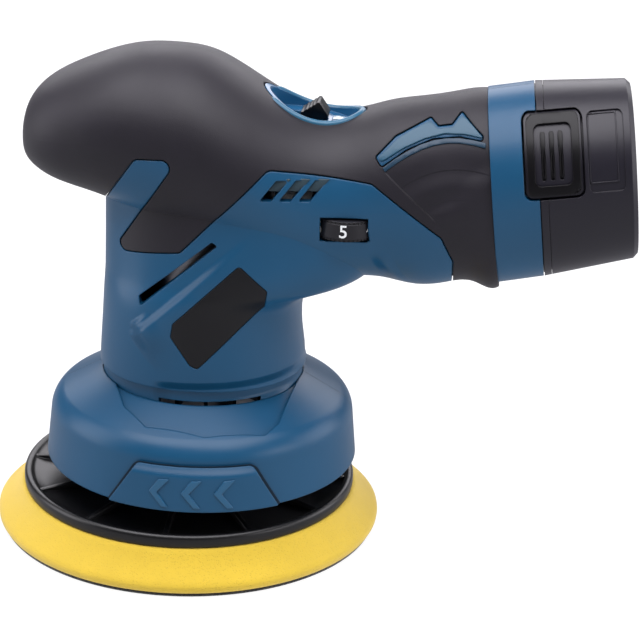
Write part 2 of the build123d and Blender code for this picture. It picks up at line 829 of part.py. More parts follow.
def ball_ring(bore, diameter, width, bottom, x, which):
    """The outer or the inner ring of a ball bearing, with its groove left plain."""
    gap = (diameter - bore) / 2
    if which == "outer":
        return ring(diameter, diameter - gap * 0.62, bottom, bottom + width, x)
    return ring(bore + gap * 0.62, bore, bottom, bottom + width, x)


def bearing_balls(bore, diameter, width, bottom, x, count=8):
    """The balls of one bearing, between its rings."""
    gap = (diameter - bore) / 2
    path = (bore + diameter) / 4
    ball = Pos(path, 0, bottom + width / 2) * Sphere(gap * 0.19 - 0.03)
    return [Pos(x, 0, 0) * turned for turned in around(count, ball)]


def motor_shaft():
    """The shaft, from the counterweight's sleeve to the upper bearing."""
    return rod(motor_shaft_diameter, sleeve_bottom + 0.2, motor_cap_top + 1)


def armature_core():
    """The laminated core with its winding slots."""
    low, high = motor_bottom + 13, motor_top - 16
    core = ring(armature_diameter, motor_shaft_diameter + 0.02, low, high)
    for slot in around(12, block(9.5, 14, -1.4, 1.4, low - 1, high + 1)):
        core -= slot
    return core


def armature_winding():
    """The copper heads of the winding at both ends of the core."""
    low, high = motor_bottom + 13, motor_top - 16
    return [ring(24.0, motor_shaft_diameter + 0.02, low - 5, low),
            ring(24.0, motor_shaft_diameter + 0.02, high, high + 5)]


def commutator():
    """The segmented copper drum under the brushes."""
    low, high = motor_top - 9, motor_top - 0.8
    drum = ring(commutator_diameter, motor_shaft_diameter + 0.02, low, high)
    for slot in around(12, block(7.2, 9, -0.25, 0.25, low - 1, high + 1)):
        drum -= slot
    return drum


def cooling_fan():
    """A radial fan: a hub and a disc with blades below it."""
    disc_top = fan_disc_bottom + fan_disc_thickness
    fan = ring(fan_diameter, motor_shaft_diameter + 0.02, fan_disc_bottom, disc_top)
    fan += ring(12.0, motor_shaft_diameter + 0.02, sleeve_top + 0.3, fan_hub_top)
    blade = block(12.0, fan_diameter / 2 - 0.5, -0.6, 0.6, fan_blade_bottom, fan_disc_bottom + 0.5)
    for turned in around(fan_blade_count, blade):
        fan += turned
    return fan


def counterweight():
    """The hub that carries the pad's bearings off centre, with its balance weight."""
    hub_radius = ball_bearing_diameter / 2 + hub_wall
    low = bearing_bottom - circlip_thickness - 0.6
    hub = rod(2 * hub_radius, low, sleeve_bottom, -throw)
    sector = ring(2 * counterweight_radius, 2 * (hub_radius - throw - 1), low + 1.5,
                  low + 1.5 + counterweight_height)
    wedge = Polyline((0, 0, low), (FAR / 4, -FAR / 4 * sin(radians(counterweight_half_angle)), low),
                     (FAR / 4, FAR / 4 * sin(radians(counterweight_half_angle)), low), close=True)
    hub += sector & extrude(make_face(wedge), 40, dir=(0, 0, 1))
    hub += rod(shaft_sleeve_diameter, sleeve_bottom - 2, sleeve_top)
    hub -= rod(ball_bearing_diameter + 0.02, low - 1, bearing_top, -throw)
    hub -= rod(ball_bearing_diameter - 5, bearing_top - 1, spindle_pocket_top, -throw)
    hub -= ring(ball_bearing_diameter + 2.2, ball_bearing_diameter - 2, low + 0.5,
                low + 0.6 + circlip_thickness, -throw)
    hub -= rod(motor_shaft_diameter + 0.02, sleeve_bottom, sleeve_top + 1)
    hub -= set_screw(extra=0.06)
    return hub


def set_screw(extra=0.0):
    """The grub screw across the shaft's sleeve."""
    z = (sleeve_bottom + sleeve_top) / 2
    length = shaft_sleeve_diameter / 2 - motor_shaft_diameter / 2
    middle = Pos(motor_shaft_diameter / 2 + length / 2 + 0.1, 0, z)
    return middle * Rot(0, 90, 0) * Cylinder(1.5 + extra / 2, length + (2 if extra else 0))


def bearing_circlip():
    """The snap ring under the pad's bearings."""
    low = bearing_bottom - circlip_thickness - 0.05
    clip = ring(ball_bearing_diameter + 2.0, ball_bearing_diameter - 2.0, low,
                low + circlip_thickness, -throw)
    return clip - block(-throw + 6, -throw + 14, -2.2, 2.2, low - 1, low + 2)


def orbit_spindle():
    """The pad's spindle: a flange on the plate's hub and a journal in the inner rings."""
    spindle = rod(spindle_flange_diameter, spindle_flange_bottom, bearing_bottom - 0.6, -throw)
    spindle += rod(ball_bearing_bore + 3, bearing_bottom - 0.8, bearing_bottom, -throw)
    spindle += rod(ball_bearing_bore - 0.02, bearing_bottom - 1, bearing_top - 0.1, -throw)
    spindle -= rod(stud_diameter + 0.06, 0, bearing_bottom + 5, -throw)
    spindle -= rod(3.06, bearing_top - 7, FAR, -throw)
    for side in (-1, 1):
        spindle -= Pos(-throw, side * (spindle_flange_diameter / 2 + 3.4), spindle_flange_bottom) \
            * Box(30, 10, 2 * spindle_flange_height - 2)
    return spindle


def spindle_screw():
    """The screw on top that holds the inner rings."""
    low = bearing_top + 0.8
    return rod(3.0, bearing_top - 6, low, -throw) + rod(5.6, low, low + 1.5, -throw)


# ---- Pad ----------------------------------------------------------------------------------
def backing_plate():
    """The rigid plate with a raised lip, ribs and a hub."""
    radius = plate_diameter / 2
    plate = rod(plate_diameter, foam_top, plate_top)
    plate += ring(plate_diameter, plate_diameter - 2 * plate_lip_width, plate_top - 0.5,
                  plate_top + plate_lip_height)
    plate += rod(plate_hub_diameter, plate_top - 0.5, hub_top)
    rib = block(plate_hub_diameter / 2 - 1, radius - plate_lip_width + 0.5, -plate_rib_width / 2,
                plate_rib_width / 2, plate_top - 0.5, plate_top + plate_lip_height * 0.6)
    for turned in around(plate_rib_count, rib):
        plate += turned
    plate = fillet(plate.edges().filter_by(GeomType.CIRCLE).group_by(Axis.Z)[-1], 1.0)
    plate -= rod(stud_diameter + 0.06, 0, FAR)
    return Pos(-throw, 0, 0) * plate


def plate_stud():
    """The steel stud moulded into the plate, with its anchor disc."""
    return rod(stud_diameter, foam_top + 0.6, bearing_bottom + 4.5, -throw)


def pad_foam():
    """The foam body: an upright skirt below and a concave flare up to the plate."""
    wide, narrow = pad_diameter / 2, foam_top_diameter / 2
    skirt_top = hook_thickness + foam_skirt
    middle = ((wide + narrow) / 2 - 0.9, 0, (skirt_top + foam_top) / 2 - 0.6)
    flare = ThreePointArc((wide, 0, skirt_top), middle, (narrow, 0, foam_top))
    face = make_face([
        Line((0, 0, hook_thickness), (wide - 0.8, 0, hook_thickness)),
        Line((wide - 0.8, 0, hook_thickness), (wide, 0, skirt_top)), flare,
        Line((narrow, 0, foam_top), (0, 0, foam_top)), Line((0, 0, foam_top), (0, 0, hook_thickness)),
    ])
    return Pos(-throw, 0, 0) * revolve(face, Axis.Z, 360)


def hook_disc():
    """The hook layer that grips polishing pads."""
    return rod(pad_diameter - 2.0, 0, hook_thickness, -throw)


# ---- Switch, dial and electronics ---------------------------------------------------------
def switch_bezel():
    """The dished surround of the slider: a floor and an upstand that follows the body."""
    shell = bezel_prism(0, -bezel_wall, 30) & body_form()
    shell -= bezel_prism(-bezel_wall, 0, 31)
    slot = slider_slot(0.25)
    return shell - slot - lens(0.06)


def slider_slot(extra):
    """The slot that the slider's stem runs in."""
    half = slider_stem / 2 + extra
    run = block(slider_rest - slider_travel - half - extra, slider_rest + half + extra, -half, half,
                -bezel_wall - 1, 1)
    return bezel_frame * run


slider_rest = 0.8               # the stem's place behind the bezel's centre, switched off


def slider_knob():
    """A ribbed wedge on a stem that reaches into the switch."""
    front, rear = slider_rest - slider_length / 2, slider_rest + slider_length / 2
    half = slider_width / 2
    wedge = make_face(Polyline((front, -half, 0.3), (rear, -half, 0.3), (rear, -half, 1.6),
                               (rear - 3.6, -half, slider_height), (front, -half, 1.3), close=True))
    knob = extrude(wedge, slider_width, dir=(0, 1, 0))
    stem = block(slider_rest - slider_stem / 2, slider_rest + slider_stem / 2, -slider_stem / 2,
                 slider_stem / 2, -bezel_wall - switch_drop - 2.6, 0.5)
    return bezel_frame * (knob + stem)


switch_front = slider_rest - slider_travel - slider_stem - 0.8


def switch_body():
    """The slide switch under the bezel."""
    top = -bezel_wall - switch_drop
    body = block(switch_front, switch_front + switch_length, -switch_width / 2, switch_width / 2,
                 top - switch_height, top)
    body -= block(slider_rest - slider_travel - slider_stem, slider_rest + slider_stem,
                  -slider_stem / 2 - 0.4, slider_stem / 2 + 0.4, top - 3.4, top + 1)
    return bezel_frame * body


def lens(extra=0.0):
    """The clear window of the power light, behind the slider."""
    start = slider_rest + slider_length / 2 + 1.2
    half = 2.2 + extra
    shape = block(start - extra, start + lens_length + extra, -half, half, -bezel_wall, 0.9)
    return bezel_frame * shape


def speed_dial():
    """The notched thumb wheel."""
    low = bell_top + dial_rise
    wheel = rod(dial_diameter, low, low + dial_thickness)
    notch = rod(0.8, low - 1, low + dial_thickness + 1, dial_diameter / 2 + 0.1, 0)
    for turned in around(dial_notches, notch):
        wheel -= turned
    wheel += rod(dial_shaft_diameter, low - 3, low + 0.5)
    return Pos(dial_distance, -dial_offset, 0) * wheel


def speed_control():
    """The rotary control that the dial's shaft turns in."""
    low, high = board_bottom + board_thickness, bell_top + dial_rise - dial_clearance
    body = block(dial_distance - control_length / 2, dial_distance + control_length / 2,
                 control_inner - 0.8 - board_half_width, 11.0 - board_half_width, low, high)
    return body + control_arm() - rod(dial_shaft_diameter + 0.1, high - 3.2, high + 1, dial_distance,
                                      -dial_offset)


def controller_board():
    """The circuit board across the grip, with its power transistor and capacitor."""
    board = block(board_from, board_to, -board_half_width, board_half_width, board_bottom,
                  board_bottom + board_thickness)
    top = board_bottom + board_thickness
    board += block(board_from + 2, board_from + 6.5, 2, 12, top - 0.1, top + 9)
    return board + rod(8.0, top - 0.1, top + 9, board_to - 5, 11)


def terminal_block():
    """The socket for the battery's contacts, in front of its stem."""
    back = stem_tip - 1.0
    body = handle * block(back - 4.0, back, -9, 9, -9, 8)
    wings = handle * block(back - 3.0, back - 1.0, -FAR / 8, FAR / 8, -4, 3)
    body += wings & body_form(bare_wall + 0.1)
    for y in (-5.5, 0, 5.5):
        body -= handle * block(back - 3.0, back + 1, y - 0.6, y + 0.6, -5, 4)
    return body


def terminal_blades():
    """Three contact blades in the socket."""
    back = stem_tip - 1.0
    blades = [block(back - 2.9, stem_tip + 1.5, y - 0.5, y + 0.5, -4.9, 3.9) for y in (-5.5, 0, 5.5)]
    return [handle * blade for blade in blades]


def motor_leads():
    """Two leads from the motor's cap to the front of the switch."""
    leads = []
    for y in (-5.0, 5.0):
        end = bezel_frame * Pos(switch_front - 0.1, y, -bezel_wall - switch_drop - 8.0)
        end_place = end.position
        start = Vector(10.5, y, motor_cap_top - 1.9)
        corner = Vector(10.5, y, end_place.Z)
        run = FilletPolyline(start, corner, end_place, radius=2.6)
        section = Plane(origin=start, z_dir=(0, 0, 1)) * Circle(0.9)
        leads.append(sweep(section, path=run))
    return leads


# ---- Battery ------------------------------------------------------------------------------
def cell_room(extra, start, end):
    """The three cells, or the room that they need."""
    rods = []
    for angle in (90, 210, 330):
        y, z = cell_pitch * cos(radians(angle)), cell_pitch * sin(radians(angle)) - 1
        middle = Pos((start + end) / 2, y, z) * Rot(0, 90, 0)
        rods.append(middle * Cylinder(cell_diameter / 2 + extra, end - start))
    return rods


battery_screw_places = [(0.0, 26.4), (-14.5, -19.3), (14.5, -19.3)]
front_plate = collar_length + battery_gap       # the battery's front face
front_plate_back = front_plate + battery_wall


def button_cuts():
    """The two openings for the release buttons, as deep as the buttons travel."""
    room = button_inset + button_thickness + button_travel + 0.6
    inner = button_inner - button_travel - 0.8
    cut = button_room(button_gap, inner) - joined_form(room)
    flange_room = button_frame(button_flange + button_gap, inner) - joined_form(room)
    cut += flange_room & joined_form(battery_wall)
    return cut + mirrored(cut)


def label_room():
    """The shallow blank panel behind the left release button."""
    end = collar_length + battery_length
    panel = block(end - label_length - label_margin, end - label_margin, -FAR / 4, -button_inner,
                  button_centre_rise - label_height / 2, button_centre_rise + label_height / 2)
    panel = fillet(panel.edges().filter_by(Axis.Y), 1.6)
    return panel - joined_form(label_depth)


def battery_cap():
    """The outer case behind the front plate, open at its front."""
    behind = block(front_plate_back + 0.1, FAR, -FAR, FAR, -FAR, FAR)
    case = (battery_form() & behind) - battery_form(battery_wall)
    for y, z in battery_screw_places:
        post = Pos(FAR / 2, y, z) * Rot(0, 90, 0) * Cylinder(boss_diameter / 2 - 0.9, FAR)
        case += post & battery_form(0.5) & behind & block(0, front_plate + 14, -FAR, FAR, -FAR, FAR)
    case -= button_cuts()
    case -= label_room()
    for pin in battery_pins(0.06):
        case -= pin
    return handle * case


def battery_stem():
    """The trefoil tube round the cells, with the front plate that closes the case."""
    plate = battery_form() & block(front_plate - 1, front_plate_back, -FAR, FAR, -FAR, FAR)
    tube = stem_form(stem_tip, front_plate_back) + plate
    for y in (-1, 1):
        seat = block(front_plate_back - 1, front_plate_back + 9.0, min(y * 12.4, y * 13.6),
                     max(y * 12.4, y * 13.6), button_centre_rise - 10, button_centre_rise - 1)
        tube += seat
    for room in cell_room(cell_clearance, stem_tip + stem_wall, front_plate_back + 1):
        tube -= room
    length = front_plate_back - stem_tip - stem_wall + 2
    core = Pos(stem_tip + stem_wall + length / 2, 0, -1) * Rot(0, 90, 0)
    tube -= core * Cylinder(cell_pitch, length)
    for y in (-5.5, 0, 5.5):
        tube -= block(stem_tip - 1, stem_tip + stem_wall + 1, y - 1.2, y + 1.2, -6, 5)
    tube -= button_cuts()
    for pin in battery_pins(0.4):
        tube -= pin
    return handle * tube


def battery_cells():
    """Three round cells side by side."""
    start = stem_tip + stem_wall + 0.4
    return [handle * cell for cell in cell_room(0, start, start + cell_length)]


def battery_link_strip():
    """The nickel strip that joins the lower cells at the rear."""
    start = stem_tip + stem_wall + 0.4 + cell_length
    strip = block(start, start + 0.2, -cell_pitch - 3, cell_pitch + 3, -1 - cell_pitch / 2 - 4,
                  -1 - cell_pitch / 2 + 4)
    return handle * strip


def battery_pins(extra=0.0):
    """The screws from the front plate into the case, in the handle's frame."""
    pins = []
    for y, z in battery_screw_places:
        head = Pos(front_plate + 0.75, y, z) * Rot(0, 90, 0)
        shank = Pos(front_plate + 6.0, y, z) * Rot(0, 90, 0)
        pins.append(head * Cylinder((battery_screw_diameter + 1.9 + extra) / 2, 1.1)
                    + shank * Cylinder((battery_screw_diameter + extra) / 2, 10.0))
    return pins


def battery_screws():
    """Three screws that close the battery from its front."""
    return [handle * pin for pin in battery_pins()]


def button_frame(grow, inner=button_inner):
    """Side view block of a button's retaining flange, behind the front plate."""
    low = button_centre_rise - button_height / 2 - grow
    high = button_centre_rise + button_height / 2 + grow
    end = collar_length - button_overlap + button_length + grow
    return block(front_plate_back + 0.6, end, -FAR / 4, -inner, low, high)


def button_room(extra, inner=button_inner):
    """The block of space over one release button, in the handle's frame, on the left."""
    start = collar_length - button_overlap - extra
    low = button_centre_rise - button_height / 2 - extra
    high = button_centre_rise + button_height / 2 + extra
    room = block(start, start + button_length + 2 * extra, -FAR / 4, -inner, low, high)
    return fillet(room.edges().filter_by(Axis.Y), 2.0 + extra)


def joined_form(inset):
    """The collar and the battery's cap as one form, in the handle's frame."""
    low, high = collar_underside, collar_top
    half = collar_width / 2
    end_high = high + 0.9 - 1.0
    return loft([
        handle_oval(0, low + inset, high - inset, half - inset),
        handle_oval(collar_length, low + 1.3 + inset, high + 0.9 - inset, half + 0.1 - inset),
        handle_oval(battery_end, end_high - battery_end_height + inset, end_high - inset,
                    battery_end_width / 2 - inset),
    ], ruled=True)


def latch_button(side):
    """A ribbed push plate that follows the case, with a flange and a peg inside."""
    back = button_inset + button_thickness
    plate = button_room(0) & (joined_form(button_inset) - joined_form(back))
    plate += button_frame(button_flange) & (joined_form(battery_wall + 0.3) - joined_form(back))
    start = collar_length - button_overlap
    for index in range(3):
        along = start + 5.4 + 2.6 * index
        channel = block(along - 0.5, along + 0.5, -FAR / 4, -6, button_centre_rise - 6.5,
                        button_centre_rise + 6.5)
        plate -= channel & (joined_form(0.6) - joined_form(button_inset + 0.8))
    peg_end = button_peg_depth - collar_width / 2
    plate += block(spring_middle - 2, spring_middle + 2, peg_end - 5.5, peg_end,
                   button_centre_rise - 8, button_centre_rise - 4)
    return handle * (plate if side == "left" else mirrored(plate))


spring_middle = front_plate_back + 4.6


def latch_spring(side):
    """A bowed steel leaf between the button's peg and its seat on the front plate."""
    outer = button_peg_depth - collar_width / 2 + 0.5
    inner = -13.6 - 0.3
    bow = ThreePointArc((spring_middle - 4.2, inner, 0), (spring_middle, outer, 0),
                        (spring_middle + 4.2, inner, 0))
    leaf = extrude(Pos(0, 0, button_centre_rise - 9) * trace(bow, line_width=0.4), 6)
    return handle * (leaf if side == "left" else mirrored(leaf))


# ---- Write every sub-part -----------------------------------------------------------------
def main():
    """Build every sub-part and write it."""
    for side in ("left", "right"):
        write(f"housing_{side}", housing_half(side))
        write(f"grip_overmold_{side}", grip_overmold(side))
        write(f"shroud_{side}", shroud_half(side))
        write(f"latch_button_{side}", latch_button(side))
        write(f"latch_spring_{side}", latch_spring(side))
    write("name_plate", name_plate())
    write("housing_screws", [screw(*housing_post(index))
                             for index in range(len(housing_screw_places))])
    write("shroud_screws", [screw(x, shroud_screw_rise)
                            for x in (-shroud_screw_offset, shroud_screw_offset)])
    write("switch_bezel", switch_bezel())
    write("switch_body", switch_body())
    write("slider_knob", slider_knob())
    write("power_lens", lens())
    write("speed_dial", speed_dial())
    write("speed_control", speed_control())
    write("controller_board", controller_board())
    write("terminal_block", terminal_block())
    write("terminal_blades", terminal_blades())
    write("motor_leads", motor_leads())

    holders, brushes = brush_parts()
    write("motor_can", motor_can())
    write("motor_end_cap", motor_end_cap())
    write("motor_magnets", magnets())
    write("motor_mount_plate", motor_mount_plate())
    write("motor_screws", motor_screws())
    write("brush_holders", holders)
    write("carbon_brushes", brushes)
    lower, upper = motor_boss_bottom, motor_top
    seats = (lower, upper)
    sizes = (motor_shaft_diameter, motor_bearing_diameter, motor_bearing_width)
    write("motor_bearing_outer_rings", [ball_ring(*sizes, z, 0, "outer") for z in seats])
    write("motor_bearing_inner_rings", [ball_ring(*sizes, z, 0, "inner") for z in seats])
    write("motor_bearing_balls", [ball for z in seats for ball in bearing_balls(*sizes, z, 0)])
    write("motor_shaft", motor_shaft())
    write("armature_core", armature_core())
    write("armature_winding", armature_winding())
    write("commutator", commutator())
    write("cooling_fan", cooling_fan())

    write("counterweight", counterweight())
    write("counterweight_set_screw", set_screw())
    write("bearing_circlip", bearing_circlip())
    seats = (bearing_bottom, bearing_bottom + ball_bearing_width + bearing_spacing)
    sizes = (ball_bearing_bore, ball_bearing_diameter, ball_bearing_width)
    write("pad_bearing_outer_rings", [ball_ring(*sizes, z, -throw, "outer") for z in seats])
    write("pad_bearing_inner_rings", [ball_ring(*sizes, z, -throw, "inner") for z in seats])
    write("pad_bearing_balls", [ball for z in seats for ball in bearing_balls(*sizes, z, -throw)])
    write("orbit_spindle", orbit_spindle())
    write("spindle_screw", spindle_screw())
    write("spindle_washer", ring(ball_bearing_bore + 3, 3.1, bearing_top, bearing_top + 0.8, -throw))
    write("backing_plate", backing_plate())
    write("plate_stud", plate_stud())
    write("pad_foam", pad_foam())
    write("hook_disc", hook_disc())

    write("battery_cap", battery_cap())
    write("battery_stem", battery_stem())
    write("battery_cells", battery_cells())
    write("battery_link_strip", battery_link_strip())
    write("battery_screws", battery_screws())


main()
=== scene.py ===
"""Looks of a small cordless dual action polisher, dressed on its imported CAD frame.

The frame gives every solid at its real size and place. Each class below holds one
sub-assembly: it models the pieces that need more shape than the solids have, gives
every piece its finish, and hangs it on the body that carries it. Lengths are in
millimetres, which MM turns into metres where Blender takes them, and the studio's are in
metres. +X runs along the grip to the battery, +Z up, and the camera stands on the -Y side.
"""

import json
import logging
import math
from contextlib import contextmanager
from dataclasses import dataclass
from enum import Enum
from typing import Any, Callable, Iterator, Optional, Sequence, Union

import bmesh
import bpy
from mathutils import Matrix, Vector


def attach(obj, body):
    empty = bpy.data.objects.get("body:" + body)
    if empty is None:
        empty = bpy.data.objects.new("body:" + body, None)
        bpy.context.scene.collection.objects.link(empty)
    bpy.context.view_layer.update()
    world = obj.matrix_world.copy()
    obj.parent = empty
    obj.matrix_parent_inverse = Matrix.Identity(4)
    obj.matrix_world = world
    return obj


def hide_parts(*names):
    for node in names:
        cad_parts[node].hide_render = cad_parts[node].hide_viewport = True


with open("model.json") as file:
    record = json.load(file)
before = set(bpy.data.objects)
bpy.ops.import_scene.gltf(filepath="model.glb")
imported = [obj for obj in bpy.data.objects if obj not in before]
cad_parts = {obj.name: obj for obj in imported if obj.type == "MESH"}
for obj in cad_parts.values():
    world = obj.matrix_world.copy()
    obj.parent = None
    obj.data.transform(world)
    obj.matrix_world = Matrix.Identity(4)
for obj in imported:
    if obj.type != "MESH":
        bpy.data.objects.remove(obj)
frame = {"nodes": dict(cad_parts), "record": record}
logger = logging.getLogger("polisher")

MM = 0.001                          # one millimetre in metres
WELD = 0.002                        # points nearer than this are merged
STAND_OFF = 90.0                    # how far outside the tool a sheet starts its way to it
HANDLE_FOOT = (89.5, 118.7)         # where the handle's own frame stands, X and Z
HANDLE_TILT = math.radians(7.0)     # how far that frame leans back from the tool's
Piece = bpy.types.Object
Value = Union["Wire", float]
Colour = tuple[float, float, float]
Point = tuple[float, float, float]
Flat = tuple[float, float]
Outline = Sequence[Flat]


# ---- Shader graph --------------------------------------------------------------------------
class Wire:
    """One shader value, with Python's arithmetic written as Math nodes."""

    def __init__(self, graph: "Graph", socket: bpy.types.NodeSocket) -> None:
        """Holds a node's output socket.

        Args:
            graph: The material's graph.
            socket: The output socket.
        """
        self.graph = graph
        self.socket = socket

    def _join(self, operation: str, *others: Value) -> "Wire":
        """A Math node on this value and the others."""
        values = {index + 1: other for index, other in enumerate(others)}
        return self.graph.node("ShaderNodeMath", {"operation": operation}, {0: self, **values})

    def __add__(self, other: Value) -> "Wire":
        """Sum."""
        return self._join("ADD", other)

    __radd__ = __add__

    def __sub__(self, other: Value) -> "Wire":
        """Difference."""
        return self._join("SUBTRACT", other)

    def __rsub__(self, other: float) -> "Wire":
        """A number less this value."""
        return self.graph.node("ShaderNodeMath", {"operation": "SUBTRACT"}, {0: other, 1: self})

    def __mul__(self, other: Value) -> "Wire":
        """Product."""
        return self._join("MULTIPLY", other)

    __rmul__ = __mul__

    def size(self) -> "Wire":
        """Its size without its sign."""
        return self._join("ABSOLUTE")

    def step(self, low: float, high: float, start: float = 0.0, end: float = 1.0) -> "Wire":
        """Eases from start to end as the value goes from low to high."""
        settings = {"interpolation_type": "SMOOTHSTEP", "clamp": True}
        return self.graph.node("ShaderNodeMapRange", settings,
                               {"Value": self, "From Min": low, "From Max": high,
                                "To Min": start, "To Max": end})


class Graph:
    """A new material's node graph."""

    def __init__(self, name: str) -> None:
        """Starts a material with one Principled shader.

        Args:
            name: The material's name.
        """
        self.material = bpy.data.materials.new(name)
        self.material.use_nodes = True
        self.tree = self.material.node_tree
        self.tree.nodes.clear()
        output = self.tree.nodes.new("ShaderNodeOutputMaterial")
        self.shader = self.tree.nodes.new("ShaderNodeBsdfPrincipled")
        self.tree.links.new(self.shader.outputs[0], output.inputs[0])

    def node(self, kind: str, settings: dict[str, Any], inputs: dict[Any, Any],
             output: Union[int, str] = 0) -> Wire:
        """Adds one node.

        Args:
            kind: The node's type.
            settings: Its properties, set before its sockets.
            inputs: A value or a Wire for each named or numbered input.
            output: The output socket to return.

        Returns:
            The chosen output as a Wire.
        """
        made = self.tree.nodes.new(kind)
        for key, value in settings.items():
            setattr(made, key, value)
        for key, value in inputs.items():
            if isinstance(value, Wire):
                self.tree.links.new(value.socket, made.inputs[key])
            else:
                made.inputs[key].default_value = value
        return Wire(self, made.outputs[output])

    def set(self, **constants: Any) -> None:
        """Sets the shader's own sockets, named with underscores for spaces."""
        for key, value in constants.items():
            self.shader.inputs[key.replace("_", " ")].default_value = value

    def feed(self, name: str, wire: Wire) -> None:
        """Leads a value into one of the shader's sockets."""
        self.tree.links.new(wire.socket, self.shader.inputs[name])

    def place(self) -> Wire:
        """Object coordinates, in metres."""
        return self.node("ShaderNodeTexCoord", {}, {}, "Object")

    def axes(self) -> list[Wire]:
        """The three object coordinates, as numbers."""
        split = self.node("ShaderNodeSeparateXYZ", {}, {0: self.place()})
        return [Wire(self, output) for output in split.socket.node.outputs]

    def noise(self, per_metre: float, detail: float = 2.0, rough: float = 0.5) -> Wire:
        """Noise from 0 to 1, with so many features to the metre."""
        return self.node("ShaderNodeTexNoise", {},
                         {"Vector": self.place(), "Scale": per_metre, "Detail": detail,
                          "Roughness": rough})

    def cells(self, per_metre: float) -> Wire:
        """Distance in a field of cells, with so many cells to the metre."""
        return self.node("ShaderNodeTexVoronoi", {}, {"Vector": self.place(), "Scale": per_metre})

    def blend(self, amount: Wire, low: Union[Colour, Wire], high: Union[Colour, Wire]) -> Wire:
        """A colour between two others."""
        ends = [end if isinstance(end, Wire) else (*end, 1.0) for end in (low, high)]
        return self.node("ShaderNodeMix", {"data_type": "RGBA"},
                         {0: amount, 6: ends[0], 7: ends[1]}, 2)

    def relief(self, height: Wire, depth: float, edge: float = 0.0,
               carving: Optional[Wire] = None) -> None:
        """Raises the surface, over rounded edges and a coarser carving.

        Args:
            height: The fine height, about 0 to 1.
            depth: What a height of 1 stands for.
            edge: The radius that sharp edges are rounded by.
            carving: A coarser height in millimetres, under the fine one.
        """
        under: dict[Any, Any] = {}
        if edge:
            under["Normal"] = self.node("ShaderNodeBevel", {"samples": 4}, {"Radius": edge})
        if carving is not None:
            under["Normal"] = self.node("ShaderNodeBump", {},
                                        {"Distance": MM, "Height": carving, **under})
        self.feed("Normal", self.node("ShaderNodeBump", {},
                                      {"Distance": depth, "Height": height, **under}))


def linear(red: int, green: int, blue: int) -> Colour:
    """A display colour as the linear one that shaders use.

    Args:
        red: From 0 to 255.
        green: From 0 to 255.
        blue: From 0 to 255.

    Returns:
        The linear colour.
    """
    def one(value: int) -> float:
        """One channel."""
        share = value / 255
        return share / 12.92 if share <= 0.04045 else ((share + 0.055) / 1.055) ** 2.4

    return one(red), one(green), one(blue)


def shade(colour: Colour, factor: float) -> Colour:
    """A colour made lighter or darker."""
    return tuple(min(1.0, channel * factor) for channel in colour)


# ---- Carvings, as heights in millimetres ---------------------------------------------------
CREST_HEIGHT, HOOK_HEIGHT, SKIRT_DEPTH, CREASE_HEIGHT = 1.4, 0.9, 2.0, 0.9


def along_and_across(graph: Graph, start: Flat, angle_deg: float) -> tuple[Wire, Wire]:
    """Side-view distances along a line and to its right.

    Args:
        graph: The material's graph.
        start: The line's start, X and Z.
        angle_deg: Its slope from +X.

    Returns:
        The distance along the line, and across it towards its right-hand side.
    """
    x, _, z = graph.axes()
    run, rise = math.cos(math.radians(angle_deg)), math.sin(math.radians(angle_deg))
    from_x, from_z = x * (1.0 / MM) - start[0], z * (1.0 / MM) - start[1]
    return from_x * run + from_z * rise, from_x * rise - from_z * run


def radius_about(graph: Graph, centre: Flat) -> Wire:
    """Side-view distance from a centre.

    Args:
        graph: The material's graph.
        centre: The centre, X and Z.

    Returns:
        The distance.
    """
    x, _, z = graph.axes()
    across, up = x * (1.0 / MM) - centre[0], z * (1.0 / MM) - centre[1]
    return graph.node("ShaderNodeMath", {"operation": "SQRT"}, {0: across * across + up * up})


def seam_line(graph: Graph) -> Wire:
    """1 on the parting line between the left and right halves, and 0 beside it: the mask of the
    painted shade along the seam.
    """
    _, y, _ = graph.axes()
    return y.size().step(0.03 * MM, 0.17 * MM, 1.0, 0.0)


def column_carving(graph: Graph) -> Wire:
    """The crest on the column, the skirt over the foot's vents and the crease under the dial.

    Args:
        graph: The material's graph.

    Returns:
        The height.
    """
    along, across = along_and_across(graph, (-18.9, 73.4), 43.2)
    facet = across.step(0.0, 2.9) * across.step(3.0, 17.0, 1.0, 0.0)
    crest = facet * along.step(-2.5, 1.0) * along.step(26.0, 51.0, 1.0, 0.0)
    down, away = along_and_across(graph, (-19.6, 74.6), -47.0)
    hook = away.step(0.6, -2.4, 0.0, 1.0) * away.step(-3.0, -9.0, 1.0, 0.0)
    hook = hook * down.step(-0.5, 1.5) * down.step(4.0, 13.0, 1.0, 0.0)
    over, under = along_and_across(graph, (-12.0, 57.6), 2.0)
    skirt = under.step(-1.0, 1.6) * under.step(5.0, 9.0, 1.0, 0.0)
    skirt = skirt * over.step(0.0, 7.0) * over.step(36.0, 46.0, 1.0, 0.0)
    lean, beside = along_and_across(graph, (55.0, 103.0), -61.0)
    crease = beside.size().step(0.0, 3.4, 1.0, 0.0) * lean.step(0.0, 6.0) \
        * lean.step(12.0, 19.0, 1.0, 0.0)
    return crest * CREST_HEIGHT + hook * HOOK_HEIGHT - skirt * SKIRT_DEPTH + crease * CREASE_HEIGHT


def fan_steps(graph: Graph) -> Wire:
    """Three fan-shaped steps that sink into the rubber under the bare crescent.

    Args:
        graph: The material's graph.

    Returns:
        The height.
    """
    reach = radius_about(graph, (80.5, 101.0))
    down, inside = along_and_across(graph, (56.0, 128.1), -40.9)
    here = inside.step(-0.25, 0.25, 1.0, 0.0) * down.step(19.0, 26.0, 1.0, 0.0)
    depth = reach.step(28.4, 36.2, 0.9, 0.0) * reach.step(23.0, 28.2, 0.0, 1.0)
    depth = depth + reach.step(19.8, 28.6, 0.9, 0.0) * reach.step(15.0, 19.6, 0.0, 1.0)
    depth = depth + reach.step(28.4, 28.9, 0.2, 0.0) + reach.step(19.7, 20.1, 0.12, 0.0)
    return here * depth * -1.0


